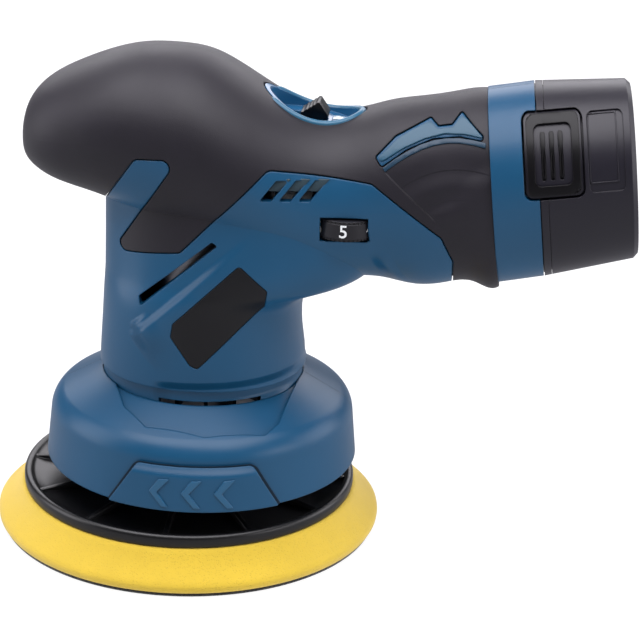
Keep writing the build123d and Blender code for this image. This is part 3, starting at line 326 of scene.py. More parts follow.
def panel_carving(graph: Graph) -> Wire:
    """The front panel's upper edge, which leans back."""
    _, _, z = graph.axes()
    return z.step(35.1 * MM, 38.8 * MM, 0.0, -1.4)


# ---- Finishes ------------------------------------------------------------------------------
@dataclass(frozen=True)
class Finish:
    """What every finish has: its material's name and its main colour."""

    name: str
    colour: Colour

    def material(self) -> bpy.types.Material:
        """Builds the material."""
        graph = Graph(self.name)
        self.paint(graph)
        return graph.material

    def paint(self, graph: Graph) -> None:
        """Fills the material's graph."""
        raise NotImplementedError

    def mottled(self, graph: Graph, amount: Wire, low: float, high: float) -> Wire:
        """The main colour, darker or lighter by an amount from 0 to 1."""
        return graph.blend(amount, shade(self.colour, low), shade(self.colour, high))


@dataclass(frozen=True)
class MouldedPlastic(Finish):
    """Injection-moulded plastic with a fine spark-eroded grain."""

    roughness: float = 0.36
    grain_per_metre: float = 2600.0
    grain_depth: float = 0.012 * MM
    edge: float = 0.4 * MM
    coat: float = 0.0
    specular: float = 0.5
    parted: bool = False
    carving: Optional[Callable[[Graph], Wire]] = None

    def paint(self, graph: Graph) -> None:
        """Fills the material's graph.

        Args:
            graph: The graph.
        """
        drift = graph.noise(22.0, 3.0).step(0.3, 0.7)
        tint = self.mottled(graph, drift, 0.94, 1.06)
        # Painted shade: the colour darkens to a quarter of itself along the parting line between
        # the halves.
        if self.parted:
            tint = graph.blend(seam_line(graph), tint, shade(self.colour, 0.25))
        graph.feed("Base Color", tint)
        smear = graph.noise(60.0, 4.0, 0.6)
        graph.feed("Roughness", smear * 0.1 + (self.roughness - 0.05))
        graph.set(Coat_Weight=self.coat, Coat_Roughness=0.12, Specular_IOR_Level=self.specular)
        carved = self.carving(graph) if self.carving else None
        graph.relief(graph.noise(self.grain_per_metre, 2.0), self.grain_depth, self.edge, carved)


@dataclass(frozen=True)
class GripRubber(Finish):
    """Soft moulded rubber: dull, with a faint bloom."""

    roughness: float = 0.52

    def paint(self, graph: Graph) -> None:
        """Fills the material's graph.

        Args:
            graph: The graph.
        """
        bloom = graph.noise(30.0, 4.0, 0.6).step(0.35, 0.75)
        graph.feed("Base Color", self.mottled(graph, bloom, 0.86, 1.14))
        graph.feed("Roughness", graph.noise(90.0, 3.0) * 0.12 + (self.roughness - 0.06))
        graph.set(Specular_IOR_Level=0.4, Sheen_Weight=0.05, Sheen_Roughness=0.4)
        pores = graph.cells(3200.0) + graph.noise(1500.0, 2.0) * 0.5
        graph.relief(pores, 0.014 * MM, 0.45 * MM, fan_steps(graph))


@dataclass(frozen=True)
class OpenCellFoam(Finish):
    """Fine open-cell foam, cut and skived, with pores that show close by, painted darker as shade
    in their hollows.
    """

    def paint(self, graph: Graph) -> None:
        """Fills the material's graph.

        Args:
            graph: The graph.
        """
        cloud = graph.noise(45.0, 4.0, 0.6).step(0.3, 0.7)
        pores = graph.cells(1500.0).step(0.05, 0.45)
        tint = self.mottled(graph, cloud, 0.95, 1.04)
        # Painted shade: the colour is darker in the pores' hollows.
        graph.feed("Base Color", graph.blend(pores, shade(self.colour, 0.9), tint))
        graph.set(Roughness=0.92, Specular_IOR_Level=0.2, Sheen_Weight=0.25,
                  Sheen_Roughness=0.6)
        skin = graph.noise(420.0, 3.0) * 0.5
        graph.relief(pores * 0.6 + skin, 0.13 * MM)


@dataclass(frozen=True)
class HookFabric(Finish):
    """The looped fabric between the pad and its plate."""

    def paint(self, graph: Graph) -> None:
        """Fills the material's graph.

        Args:
            graph: The graph.
        """
        loops = graph.cells(1300.0)
        graph.feed("Base Color", self.mottled(graph, loops, 1.6, 0.7))
        graph.set(Roughness=0.95, Sheen_Weight=0.4, Sheen_Roughness=0.5)
        graph.relief(loops, 0.3 * MM)


@dataclass(frozen=True)
class WorkedMetal(Finish):
    """Metal as it comes from its machine, from ground to cast."""

    roughness: float = 0.32
    grain_per_metre: float = 900.0
    grain_depth: float = 0.006 * MM
    metallic: float = 1.0

    def paint(self, graph: Graph) -> None:
        """Fills the material's graph.

        Args:
            graph: The graph.
        """
        stain = graph.noise(70.0, 4.0, 0.65).step(0.35, 0.7)
        graph.feed("Base Color", self.mottled(graph, stain, 0.88, 1.05))
        graph.feed("Roughness", graph.noise(260.0, 3.0) * 0.16 + (self.roughness - 0.08))
        graph.set(Metallic=self.metallic)
        graph.relief(graph.noise(self.grain_per_metre, 2.0), self.grain_depth, 0.12 * MM)


@dataclass(frozen=True)
class ClearLens(Finish):
    """Milky moulded light guide over the power lamp."""

    def paint(self, graph: Graph) -> None:
        """Fills the material's graph.

        Args:
            graph: The graph.
        """
        haze = graph.noise(300.0, 2.0).step(0.3, 0.7)
        graph.feed("Base Color", graph.blend(haze, shade(self.colour, 0.93), self.colour))
        graph.set(Roughness=0.12, Transmission_Weight=0.45, IOR=1.49, Coat_Weight=0.4)
        graph.relief(haze, 0.01 * MM, 0.2 * MM)


HOUSING_BLUE = linear(19, 73, 107)
BLUE = MouldedPlastic("housing_blue", HOUSING_BLUE, edge=0.6 * MM, specular=0.36, parted=True,
                      carving=column_carving)
BELL_BLUE = MouldedPlastic("bell_blue", HOUSING_BLUE, edge=0.6 * MM, specular=0.36, parted=True)
PANEL_BLUE = MouldedPlastic("panel_blue", HOUSING_BLUE, specular=0.36, carving=panel_carving)
# Dark blue of the sheet round the bell's panel: painted shadow in the gap at the panel's edge.
GAP_SHADE = MouldedPlastic("joint_shadow", linear(9, 32, 48), 0.6, specular=0.2)
ARROW_BLUE = MouldedPlastic("arrow_blue", linear(28, 84, 119))
INLAY_BLUE = MouldedPlastic("inlay_blue", linear(40, 80, 102), 0.34, specular=0.4)
BLADE = MouldedPlastic("vent_blade", linear(38, 58, 68), 0.5)
# A darker, greyer copy of the housing blue for the lip under the crescent: painted shade on its
# downward-leaning face.
LIP_SHADED_BLUE = MouldedPlastic("lip_shaded_blue", linear(26, 54, 74), 0.34, specular=0.4)
# A paler copy of the dish's gloss blue for the bead round the dish: painted highlight along the
# rim.
RIM_LIT_BLUE = MouldedPlastic("rim_lit_blue", linear(46, 98, 126), 0.3, coat=0.1, specular=0.4)
DISH_BLUE = MouldedPlastic("dish_blue", linear(36, 92, 132), 0.22, coat=0.4)
RUBBER = GripRubber("grip_rubber", linear(26, 23, 32))
BATTERY = MouldedPlastic("battery_plastic", linear(26, 24, 34), 0.4, specular=0.42)
BUTTON = MouldedPlastic("button_plastic", linear(11, 10, 13), 0.34, specular=0.25)
BLACK = MouldedPlastic("black_plastic", linear(17, 17, 20), 0.42, specular=0.35)
WHEEL = MouldedPlastic("dial_wheel", linear(24, 23, 28), 0.4, specular=0.45)
KNOB = MouldedPlastic("slide_knob", linear(5, 5, 7), 0.3, specular=0.25)
WHITE_INK = MouldedPlastic("white_ink", linear(225, 228, 230), 0.5, edge=0.02 * MM)
PLATE = MouldedPlastic("plate_plastic", linear(6, 6, 8), 0.34, 1200.0, 0.01 * MM, specular=0.55)
FOAM = OpenCellFoam("foam_yellow", linear(212, 180, 52))
HOOKS = HookFabric("hook_fabric", linear(30, 30, 32))
STEEL = WorkedMetal("zinc_steel", linear(150, 150, 154), 0.34)
BRIGHT = WorkedMetal("ground_steel", linear(190, 190, 194), 0.2)
CASTING = WorkedMetal("zinc_casting", linear(160, 160, 165), 0.42, 500.0, 0.02 * MM)
COPPER = WorkedMetal("copper", linear(200, 120, 80), 0.3)
FERRITE = WorkedMetal("ferrite", linear(60, 60, 64), 0.6, 700.0, 0.02 * MM, 0.2)
CARBON = WorkedMetal("carbon", linear(45, 45, 48), 0.6, 900.0, 0.02 * MM, 0.1)
BOARD = MouldedPlastic("circuit_board", linear(30, 95, 55), 0.4)
SLEEVE = MouldedPlastic("lead_sleeve", linear(150, 25, 25), 0.5)
CELL = MouldedPlastic("cell_sleeve", linear(40, 120, 95), 0.3)
LENS = ClearLens("lamp_lens", linear(205, 222, 235))

SLOT_FINISH = {
    "blue_plastic": BELL_BLUE, "grip_rubber": RUBBER, "black_plastic": BLACK,
    "battery_plastic": BATTERY, "blue_gloss": DISH_BLUE, "lens_plastic": LENS,
    "screw_steel": STEEL, "motor_steel": STEEL, "bearing_steel": BRIGHT, "magnet": FERRITE,
    "lamination": FERRITE, "copper": COPPER, "carbon": CARBON, "zinc_casting": CASTING,
    "circuit_board": BOARD, "lead_sleeve": SLEEVE, "plate_plastic": PLATE,
    "yellow_foam": FOAM, "hook_fabric": HOOKS, "cell_sleeve": CELL,
}


class Wardrobe:
    """Makes each finish's material once and hands it out."""

    def __init__(self) -> None:
        """Starts empty."""
        self.made: dict[str, bpy.types.Material] = {}

    def of(self, finish: Finish) -> bpy.types.Material:
        """The material of a finish."""
        if finish.name not in self.made:
            self.made[finish.name] = finish.material()
        return self.made[finish.name]


def dress_nodes(wardrobe: Wardrobe) -> None:
    """Gives every CAD node the finish of its record slot.

    Args:
        wardrobe: Where the materials come from.
    """
    own = {"housing_left": BLUE, "housing_right": BLUE}
    for entry in frame["record"]["subparts"]:
        node = frame["nodes"][entry["node"]]
        finish = own.get(node.name, SLOT_FINISH[entry["material_slot"]])
        node.data.materials.clear()
        node.data.materials.append(wardrobe.of(finish))
        logger.info("dressed %s in %s", node.name, finish.name)


# ---- Modelling -----------------------------------------------------------------------------
class Side(Enum):
    """The two halves of the tool, by the sign of Y."""

    LEFT = -1
    RIGHT = 1

    @property
    def word(self) -> str:
        """The word that the nodes' names end with."""
        return self.name.lower()


def select_only(piece: Piece) -> None:
    """Deselects everything and makes one piece active.

    Args:
        piece: The piece.
    """
    bpy.ops.object.select_all(action="DESELECT")
    piece.select_set(True)
    bpy.context.view_layer.objects.active = piece


@contextmanager
def editing(piece: Piece, everything: bool = False) -> Iterator[None]:
    """Edit mode on one piece.

    Args:
        piece: The piece.
        everything: Whether its whole mesh starts selected, or nothing.
    """
    select_only(piece)
    bpy.ops.object.mode_set(mode="EDIT")
    bpy.ops.mesh.select_mode(type="VERT")
    bpy.ops.mesh.select_all(action="SELECT" if everything else "DESELECT")
    yield
    bpy.ops.object.mode_set(mode="OBJECT")


def pick_faces(piece: Piece, wanted: Callable[[Vector, Vector], bool]) -> None:
    """Selects, in edit mode, the wanted faces.

    Args:
        piece: The piece.
        wanted: Tells from a face's centre and normal whether it is wanted.
    """
    bpy.ops.mesh.select_mode(type="FACE")
    mesh = bmesh.from_edit_mesh(piece.data)
    for face in mesh.faces:
        face.select_set(wanted(face.calc_center_median(), face.normal))
    bmesh.update_edit_mesh(piece.data)


def shift(x: float = 0.0, y: float = 0.0, z: float = 0.0) -> None:
    """Moves, in edit mode, what is selected."""
    bpy.ops.transform.translate(value=(x * MM, y * MM, z * MM))


def turn_about(axis: Flat, angle: float) -> None:
    """Turns, in edit mode, what is selected about an upright axis."""
    bpy.ops.transform.rotate(value=angle, orient_axis="Z",
                             center_override=(axis[0] * MM, axis[1] * MM, 0.0))


def close_up() -> None:
    """Welds what meets in edit mode, closes every hole and turns the faces outwards."""
    steps = ((bpy.ops.mesh.remove_doubles, {"threshold": WELD * MM}),
             (bpy.ops.mesh.fill_holes, {"sides": 0}),
             (bpy.ops.mesh.normals_make_consistent, {"inside": False}))
    for step, settings in steps:
        bpy.ops.mesh.select_all(action="SELECT")
        step(**settings)


def modify(piece: Piece, kind: str, **settings: Any) -> None:
    """Adds one modifier and applies it.

    Args:
        piece: The piece.
        kind: The modifier's type.
        settings: Its properties, with lengths in metres.
    """
    select_only(piece)
    modifier = piece.modifiers.new(kind.lower(), kind)
    for key, value in settings.items():
        setattr(modifier, key, value)
    bpy.ops.object.modifier_apply(modifier=modifier.name)


def soften(piece: Piece, radius: float, rounds: int = 3) -> None:
    """Rounds a piece's sharp edges."""
    modify(piece, "BEVEL", width=radius * MM, segments=rounds, limit_method="ANGLE",
           angle_limit=math.radians(35.0), use_clamp_overlap=True, miter_outer="MITER_ARC")


def settle(piece: Piece) -> None:
    """Moves a piece's place, turn and scale into its mesh."""
    select_only(piece)
    bpy.ops.object.transform_apply(location=True, rotation=True, scale=True)


def remove(piece: Piece) -> None:
    """Removes a helper mesh."""
    select_only(piece)
    bpy.ops.object.delete()


def join(name: str, pieces: Sequence[Piece]) -> Piece:
    """Joins several meshes in one.

    Args:
        name: The name of the result.
        pieces: The meshes.

    Returns:
        The joined piece.
    """
    select_only(pieces[0])
    for piece in pieces:
        piece.select_set(True)
    bpy.ops.object.join()
    joined = bpy.context.active_object
    joined.name = name
    return joined


def copy_of(piece: Piece, name: str) -> Piece:
    """A copy of a piece, with its own mesh.

    Args:
        piece: The piece.
        name: The copy's name.

    Returns:
        The copy.
    """
    select_only(piece)
    bpy.ops.object.duplicate(linked=False)
    made = bpy.context.active_object
    made.name = name
    return made


def ring(name: str, place: Point, radius: float, sides: int) -> Piece:
    """A level circle of edges to start a piece from.

    Args:
        name: The piece's name.
        place: Its centre.
        radius: Its radius.
        sides: How many sides it has.

    Returns:
        The circle.
    """
    bpy.ops.object.select_all(action="DESELECT")
    bpy.ops.mesh.primitive_circle_add(vertices=sides, radius=radius * MM, fill_type="NOTHING",
                                      location=[length * MM for length in place])
    piece = bpy.context.active_object
    piece.name = name
    settle(piece)
    return piece


def turned(name: str, centre: Flat, profile: Outline, sides: int = 160) -> Piece:
    """A body turned about an upright axis: a circle, extruded from ring to ring.

    Args:
        name: The piece's name.
        centre: The axis, X and Y.
        profile: The rings' radii and heights. A first or last ring is closed by a flat face,
            and where the two are the same ring they are welded.
        sides: How many sides a ring has.

    Returns:
        The piece.
    """
    radius, height = profile[0]
    piece = ring(name, (*centre, height), radius, sides)
    with editing(piece, everything=True):
        for next_radius, next_height in profile[1:]:
            lift = {"value": (0.0, 0.0, (next_height - height) * MM)}
            bpy.ops.mesh.extrude_region_move(TRANSFORM_OT_translate=lift)
            share, pivot = next_radius / radius, (*centre, next_height)
            bpy.ops.transform.resize(value=(share, share, 1.0),
                                     center_override=[length * MM for length in pivot])
            radius, height = next_radius, next_height
        close_up()
    return piece


def flat_outline(name: str, loops: Sequence[Outline], corner: float) -> Piece:
    """A flat sheet in the plane Y = 0, with rounded corners and holes.

    Args:
        name: The piece's name.
        loops: The outer outline, then any holes, each as X and Z.
        corner: The radius of the corners.

    Returns:
        The sheet as a mesh.
    """
    curve = bpy.data.curves.new(name, "CURVE")
    curve.dimensions, curve.fill_mode = "2D", "BOTH"
    for loop in loops:
        spline = curve.splines.new("POLY")
        spline.points.add(len(loop) - 1)
        for point, (x, z) in zip(spline.points, loop):
            point.co = (x * MM, z * MM, 0.0, 1.0)
        spline.use_cyclic_u = True
    piece = bpy.data.objects.new(name, curve)
    bpy.context.scene.collection.objects.link(piece)
    piece.rotation_euler = (math.radians(90.0), 0.0, 0.0)
    select_only(piece)
    bpy.ops.object.convert(target="MESH")
    settle(piece)
    with editing(piece, everything=True):
        bpy.ops.mesh.remove_doubles(threshold=WELD * MM)
        bpy.ops.mesh.dissolve_limited(angle_limit=math.radians(1.0))
    if corner:
        modify(piece, "BEVEL", affect="VERTICES", width=corner * MM, segments=4,
               limit_method="NONE", use_clamp_overlap=True)
    return piece


def slab(name: str, outline: Outline, corner: float, width: float) -> Piece:
    """A side-view outline made wide, evenly to both sides of Y = 0.

    Args:
        name: The piece's name.
        outline: Its outline, as X and Z.
        corner: The radius of the corners.
        width: Its width.

    Returns:
        The piece.
    """
    piece = flat_outline(name, [outline], corner)
    modify(piece, "SOLIDIFY", thickness=width * MM, offset=0.0)
    return piece


def slice_up(piece: Piece, pitch: float) -> None:
    """Cuts a flat sheet into a grid, so that it can follow a round surface.

    Args:
        piece: The sheet.
        pitch: The grid's pitch.
    """
    corners = [Vector(corner) for corner in piece.bound_box]
    with editing(piece):
        for axis in (0, 2):
            low = min(corner[axis] for corner in corners)
            high = max(corner[axis] for corner in corners)
            place, normal = Vector(), Vector()
            normal[axis] = 1.0
            for count in range(1, math.ceil((high - low) / (pitch * MM))):
                place[axis] = low + count * pitch * MM
                bpy.ops.mesh.select_all(action="SELECT")
                bpy.ops.mesh.bisect(plane_co=place, plane_no=normal, use_fill=False)


@dataclass(frozen=True)
class Lay:
    """How a thin piece is cut and laid on a surface.

    Attributes:
        corner: The radius of its outline's corners.
        sunk: How deep its underside lies in the surface.
        proud: How far its outside stands over the surface.
        pitch: The pitch of the grid that lets it bend.
        edge: The radius of its edges.
        rounds: The number of steps in which its edges are rounded.
    """

    corner: float
    sunk: float
    proud: float
    pitch: float
    edge: float = 0.0
    rounds: int = 3


def lay_on(piece: Piece, side: Side, target: Piece, lay: Lay) -> None:
    """Lays a flat sheet on a surface, along Y, and gives it a thickness.

    Args:
        piece: The sheet, in the plane Y = 0.
        side: The side of the tool that it goes to.
        target: The object that it lies on.
        lay: How it lies there.
    """
    with editing(piece, everything=True):
        shift(y=side.value * STAND_OFF)
        bpy.ops.mesh.select_all(action="SELECT")
        bpy.ops.mesh.normals_make_consistent(inside=False)
    modify(piece, "SHRINKWRAP", target=target, wrap_method="PROJECT", use_project_y=True,
           use_negative_direction=side is Side.RIGHT, use_positive_direction=side is Side.LEFT,
           offset=0.0)
    outwards = sum(face.normal.y for face in piece.data.polygons) * side.value > 0
    if not outwards:
        with editing(piece, everything=True):
            bpy.ops.mesh.flip_normals()
    modify(piece, "DISPLACE", strength=-lay.sunk * MM, mid_level=0.0, direction="NORMAL")
    modify(piece, "SOLIDIFY", thickness=(lay.sunk + lay.proud) * MM, offset=1.0,
           use_even_offset=False)


def trim(name: str, loops: Sequence[Outline], lay: Lay, side: Side,
         target: Piece) -> Piece:
    """A thin raised piece that follows a surface.

    Args:
        name: The piece's name.
        loops: Its outline and holes, as X and Z.
        lay: How it is cut and laid.
        side: The side of the tool that it goes to.
        target: The object that it lies on.

    Returns:
        The piece.
    """
    piece = flat_outline(name, loops, lay.corner)
    slice_up(piece, lay.pitch)
    lay_on(piece, side, target, lay)
    if lay.edge:
        soften(piece, lay.edge, lay.rounds)
    return piece


def grip_form(side: Side) -> Piece:
    """One half of the grip without its grooves, as a form to lay trim on.

    Args:
        side: Which half.

    Returns:
        A closed helper mesh, to be removed after use.
    """
    halves = [copy_of(frame["nodes"][node + side.word], "grip_form")
              for node in ("housing_", "grip_overmold_")]
    form = join("grip_form", halves)
    modify(form, "REMESH", mode="VOXEL", voxel_size=1.1 * MM)
    modify(form, "SMOOTH", factor=0.5, iterations=6)
    return form


@dataclass
class SubAssembly:
    """A group of pieces that ride on the CAD's bodies."""

    wardrobe: Wardrobe

    def dress(self, piece: Piece, finish: Finish, body: str, slot: str,
              *nodes: str, smooth_deg: float = 40.0) -> None:
        """Finishes a piece: its place, shading, material and body.

        Args:
            piece: The piece.
            finish: Its finish.
            body: The body that it rides on.
            slot: Not used.
            nodes: The CAD nodes that it stands for.
            smooth_deg: The angle over which an edge stays sharp.
        """
        settle(piece)
        select_only(piece)
        bpy.ops.object.shade_smooth_by_angle(angle=math.radians(smooth_deg))
        piece.data.materials.clear()
        piece.data.materials.append(self.wardrobe.of(finish))
        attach(piece, body)
        if nodes:
            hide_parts(*nodes)
        logger.info("made %s on %s, %d faces", piece.name, body, len(piece.data.polygons))


# ---- Polishing pad -------------------------------------------------------------------------
@dataclass
class PolishingPad(SubAssembly):
    """Foam, hook layer and dished plate, which turn about the orbiting spindle."""

    axis: Flat = (-4.0, 0.0)
    core_radius: float = 8.0
    bore_radius: float = 3.1
    foam_radius: float = 62.5
    neck_radius: float = 54.3
    hook_radius: float = 61.4
    plate_radius: float = 54.0
    hub_radius: float = 16.0
    hook_top: float = 1.2
    foam_top: float = 12.6
    plate_top: float = 15.2
    hub_top: float = 23.2
    cheek_hollow: float = 0.85
    cheek_steps: int = 9
    rib_count: int = 12
    rib_width: float = 1.6

    def build(self) -> None:
        """Makes the three layers."""
        self.foam()
        self.hooks()
        self.plate()

    def foam(self) -> None:
        """The foam body: a hollow-cheeked flare that ends in a rounded edge."""
        wide, neck, bottom, top = self.foam_radius, self.neck_radius, self.hook_top, self.foam_top
        rings = [(self.core_radius, bottom), (40.0, bottom), (wide - 1.3, bottom),
                 (wide - 0.55, bottom + 0.35), (wide - 0.12, bottom + 1.1), (wide, bottom + 2.0)]
        low = bottom + 2.9
        for step in range(self.cheek_steps + 1):
            share = step / self.cheek_steps
            hollow = self.cheek_hollow * math.sin(math.pi * share)
            rings.append((wide - 0.15 - (wide - neck - 0.55) * share - hollow,
                          low + (top - 0.5 - low) * share))
        rings += [(neck - 0.2, top - 0.1), (neck - 1.2, top), (40.0, top),
                  (self.core_radius, top)]
        foam = turned("foam_pad", self.axis, rings, 192)
        self.dress(foam, FOAM, "pad", "yellow_foam", "pad_foam", smooth_deg=60.0)

    def hooks(self) -> None:
        """The thin hook layer under the foam, slightly domed at its edge."""
        core, reach, top = self.core_radius, self.hook_radius, self.hook_top
        rings = [(core, 0.0), (30.0, 0.0), (reach - 0.7, 0.0), (reach - 0.2, 0.15), (reach, 0.5),
                 (reach - 0.05, top - 0.2), (reach - 0.3, top), (30.0, top), (core, top)]
        hooks = turned("hook_layer", self.axis, rings, 192)
        self.dress(hooks, HOOKS, "pad", "hook_fabric", "hook_disc")

    def rib(self, start: float, end: float) -> Piece:
        """One rib on the plate's floor, which rises to the hub.

        Args:
            start: Where it leaves the hub, from the axis.
            end: Where it meets the lip.

        Returns:
            The rib, along +X.
        """
        near, far, floor = self.axis[0] + start, self.axis[0] + end, self.plate_top
        rib = slab("plate_rib", [(near, floor - 0.6), (far, floor - 0.6), (far, floor + 0.65),
                                 (near, floor + 3.85)], 0.0, self.rib_width)
        modify(rib, "BEVEL", width=0.35 * MM, segments=3, limit_method="ANGLE")
        return rib

    def plate(self) -> None:
        """The dished plate: a rolled lip, a ribbed floor and the spindle's hub."""
        rim, floor, hub, bore = self.plate_radius, self.plate_top, self.hub_radius, self.bore_radius
        lip, low, top = floor + 1.5, self.foam_top, self.hub_top
        rings = [(bore, low), (rim - 0.8, low), (rim - 0.15, low + 0.3), (rim, low + 1.0),
                 (rim, lip - 1.2), (rim - 0.25, lip - 0.5), (rim - 0.8, lip - 0.08),
                 (rim - 1.4, lip), (rim - 2.0, lip - 0.12), (rim - 2.5, lip - 0.6),
                 (rim - 2.9, floor + 0.35), (rim - 3.6, floor + 0.05), (rim - 6.0, floor - 0.3),
                 (rim - 14.0, floor - 0.5), (hub + 6.0, floor - 0.4), (hub + 1.6, floor),
                 (hub + 0.5, floor + 0.8), (hub - 0.2, floor + 3.0), (hub - 0.5, top - 0.9),
                 (hub - 0.8, top - 0.25), (hub - 1.5, top), (bore, top), (bore, low)]
        dish = turned("pad_plate", self.axis, rings)
        ribs = [self.rib(hub - 1.0, rim - 2.2)]
        for count in range(1, self.rib_count):
            ribs.append(copy_of(ribs[0], "plate_rib"))
            with editing(ribs[-1], everything=True):
                turn_about(self.axis, 2 * math.pi * count / self.rib_count)
        plate = join("pad_plate", [dish, *ribs])
        self.dress(plate, PLATE, "pad", "plate_plastic", "backing_plate")


# ---- Bell ----------------------------------------------------------------------------------
@dataclass
class BellFront(SubAssembly):
    """The raised panel low on each side of the bell, with its three arrow heads."""

    low: float = 24.2
    top: float = 38.2
    cad_radii: Flat = (50.3, 48.9)
    cad_rise: float = 0.8
    swell: float = 0.7
    joint: float = 0.45
    arrow_pitch: float = 9.9
    panel_lay: Lay = Lay(corner=0.5, sunk=0.7, proud=0.25, pitch=0.9, edge=0.25)
    joint_lay: Lay = Lay(corner=0.5, sunk=0.1, proud=0.05, pitch=0.9)
    arrow_lay: Lay = Lay(corner=0.25, sunk=0.05, proud=0.4, pitch=0.9, edge=0.3)

    def arrow(self, index: int) -> list[Flat]:
        """One arrow head, pointing to the nose."""
        tip, middle = -9.0 + self.arrow_pitch * index, 30.2
        return [(tip, middle), (tip + 2.9, middle + 4.0), (tip + 6.2, middle + 4.2),
                (tip + 2.4, middle - 0.1), (tip + 6.0, middle - 4.7), (tip + 4.0, middle - 4.7)]

    def plate(self, name: str, side: Side, grown: float, swell: float,
              lay: Lay) -> Piece:
        """A plate with the panel's outline, laid on the bell's wall.

        Args:
            name: The piece's name.
            side: The side of the bell.
            grown: How far the outline stands outside the panel's.
            swell: How far the part below the leaning upper edge stands out from the wall.
            lay: How it is cut, and laid on that form.

        Returns:
            The plate.
        """
        low, top = self.low, self.top + grown
        outline = [(-22.2 - 1.3 * grown, low), (-13.9 - 1.1 * grown, top - 1.2),
                   (-12.7 - 0.3 * grown, top), (21.3 + 0.3 * grown, top),
                   (22.7 + 1.1 * grown, top - 1.2), (29.9 + 1.3 * grown, low)]
        rim, shoulder = (radius + self.cad_rise for radius in self.cad_radii)
        form = turned("bell_form", (0.0, 0.0), [(rim + swell, 24.0), (shoulder + 0.3 + swell, 35.0),
                                                (shoulder - 0.1, 39.5)], 256)
        plate = trim(name, [outline], lay, side, form)
        remove(form)
        return plate

    def build(self) -> None:
        """Makes the panels, the dark sheets of painted shadow round their edges, and the arrow
        heads on them.
        """
        for side in Side:
            panel = self.plate("bell_panel_" + side.word, side, 0.0, self.swell, self.panel_lay)
            # A sheet a little larger than the panel, under its edge: painted shadow in the gap
            # round the panel.
            joint = self.plate("panel_gap_shade_" + side.word, side, self.joint, 0.0, self.joint_lay)
            arrows = [trim("panel_arrow", [self.arrow(index)], self.arrow_lay, side, panel)
                      for index in range(3)]
            heads = join("panel_arrows_" + side.word, arrows)
            for piece, finish in ((panel, PANEL_BLUE), (joint, GAP_SHADE), (heads, ARROW_BLUE)):
                self.dress(piece, finish, "housing", "blue_plastic")


# ---- Grip ----------------------------------------------------------------------------------
@dataclass
class GripTrim(SubAssembly):
    """The crescent that stands in the grip's rubber, and the lip under it."""

    crescent_lay: Lay = Lay(corner=0.45, sunk=0.1, proud=0.55, pitch=1.2, edge=0.3)
    lip_lay: Lay = Lay(corner=0.3, sunk=0.2, proud=0.4, pitch=1.2, edge=0.3)

    def crescent(self) -> list[Flat]:
        """The outline of the notched crescent."""
        return [(54.7, 131.0), (60.0, 136.1), (65.0, 139.0), (69.5, 141.0), (71.7, 139.4),
                (76.3, 140.3), (77.7, 142.2), (78.7, 143.1), (79.9, 142.8), (82.6, 140.8),
                (85.2, 138.5), (80.0, 139.0), (74.0, 138.6), (68.0, 136.8), (62.0, 134.0),
                (57.0, 130.8), (55.6, 130.0)]

    def lip(self) -> list[Flat]:
        """The outline of the thin lip that follows the crescent's lower edge."""
        upper = [(56.1, 128.3), (59.5, 131.0), (63.1, 133.25), (66.8, 135.2), (70.7, 136.65),
                 (74.5, 137.5), (78.4, 137.95), (82.4, 137.8), (86.3, 137.3)]
        lower = [(86.2, 136.0), (82.4, 136.5), (78.5, 136.7), (74.7, 136.3), (71.0, 135.4),
                 (67.3, 134.0), (63.7, 132.1), (60.2, 129.9), (56.9, 127.3)]
        return upper + lower

    def build(self) -> None:
        """Makes both sides."""
        # The lip takes the darker blue of painted shade.
        kinds = (("grip_crescent_", self.crescent(), self.crescent_lay, INLAY_BLUE),
                 ("grip_lip_", self.lip(), self.lip_lay, LIP_SHADED_BLUE))
        for side in Side:
            form = grip_form(side)
            for name, outline, lay, finish in kinds:
                piece = trim(name + side.word, [outline], lay, side, form)
                self.dress(piece, finish, "housing", "blue_plastic")
            remove(form)


@dataclass
class VentBlades(SubAssembly):
    """Slanted blades inside the upper half of the three shoulder vents."""

    pitch: float = 5.7
    insets: tuple[float, ...] = (27.9, 26.7, 25.5)
    thickness: float = 0.8
    slant: float = 0.7

    def blade(self, side: Side, index: int) -> Piece:
        """One blade, its lower edge nearer the wall's outside.

        Args:
            side: The side of the tool.
            index: Which vent it stands in, from the nose.

        Returns:
            The blade.
        """
        x = 20.1 + self.pitch * index
        outline = [(x + 1.9, 120.7), (x + 6.1, 120.7), (x + 9.1, 124.5), (x + 4.8, 124.5)]
        blade = slab("vent_blade", outline, 0.0, self.thickness)
        with editing(blade):
            pick_faces(blade, lambda middle, normal: True)
            shift(y=self.insets[index] * side.value)
            pick_faces(blade, lambda middle, normal: normal.z < -0.9)
            shift(y=self.slant * side.value)
        soften(blade, 0.12, 2)
        return blade

    def build(self) -> None:
        """Makes the blades of both sides."""
        for side in Side:
            blades = [self.blade(side, index) for index in range(len(self.insets))]
            self.dress(join("vent_blades_" + side.word, blades), BLADE, "housing",
                       "blue_plastic")


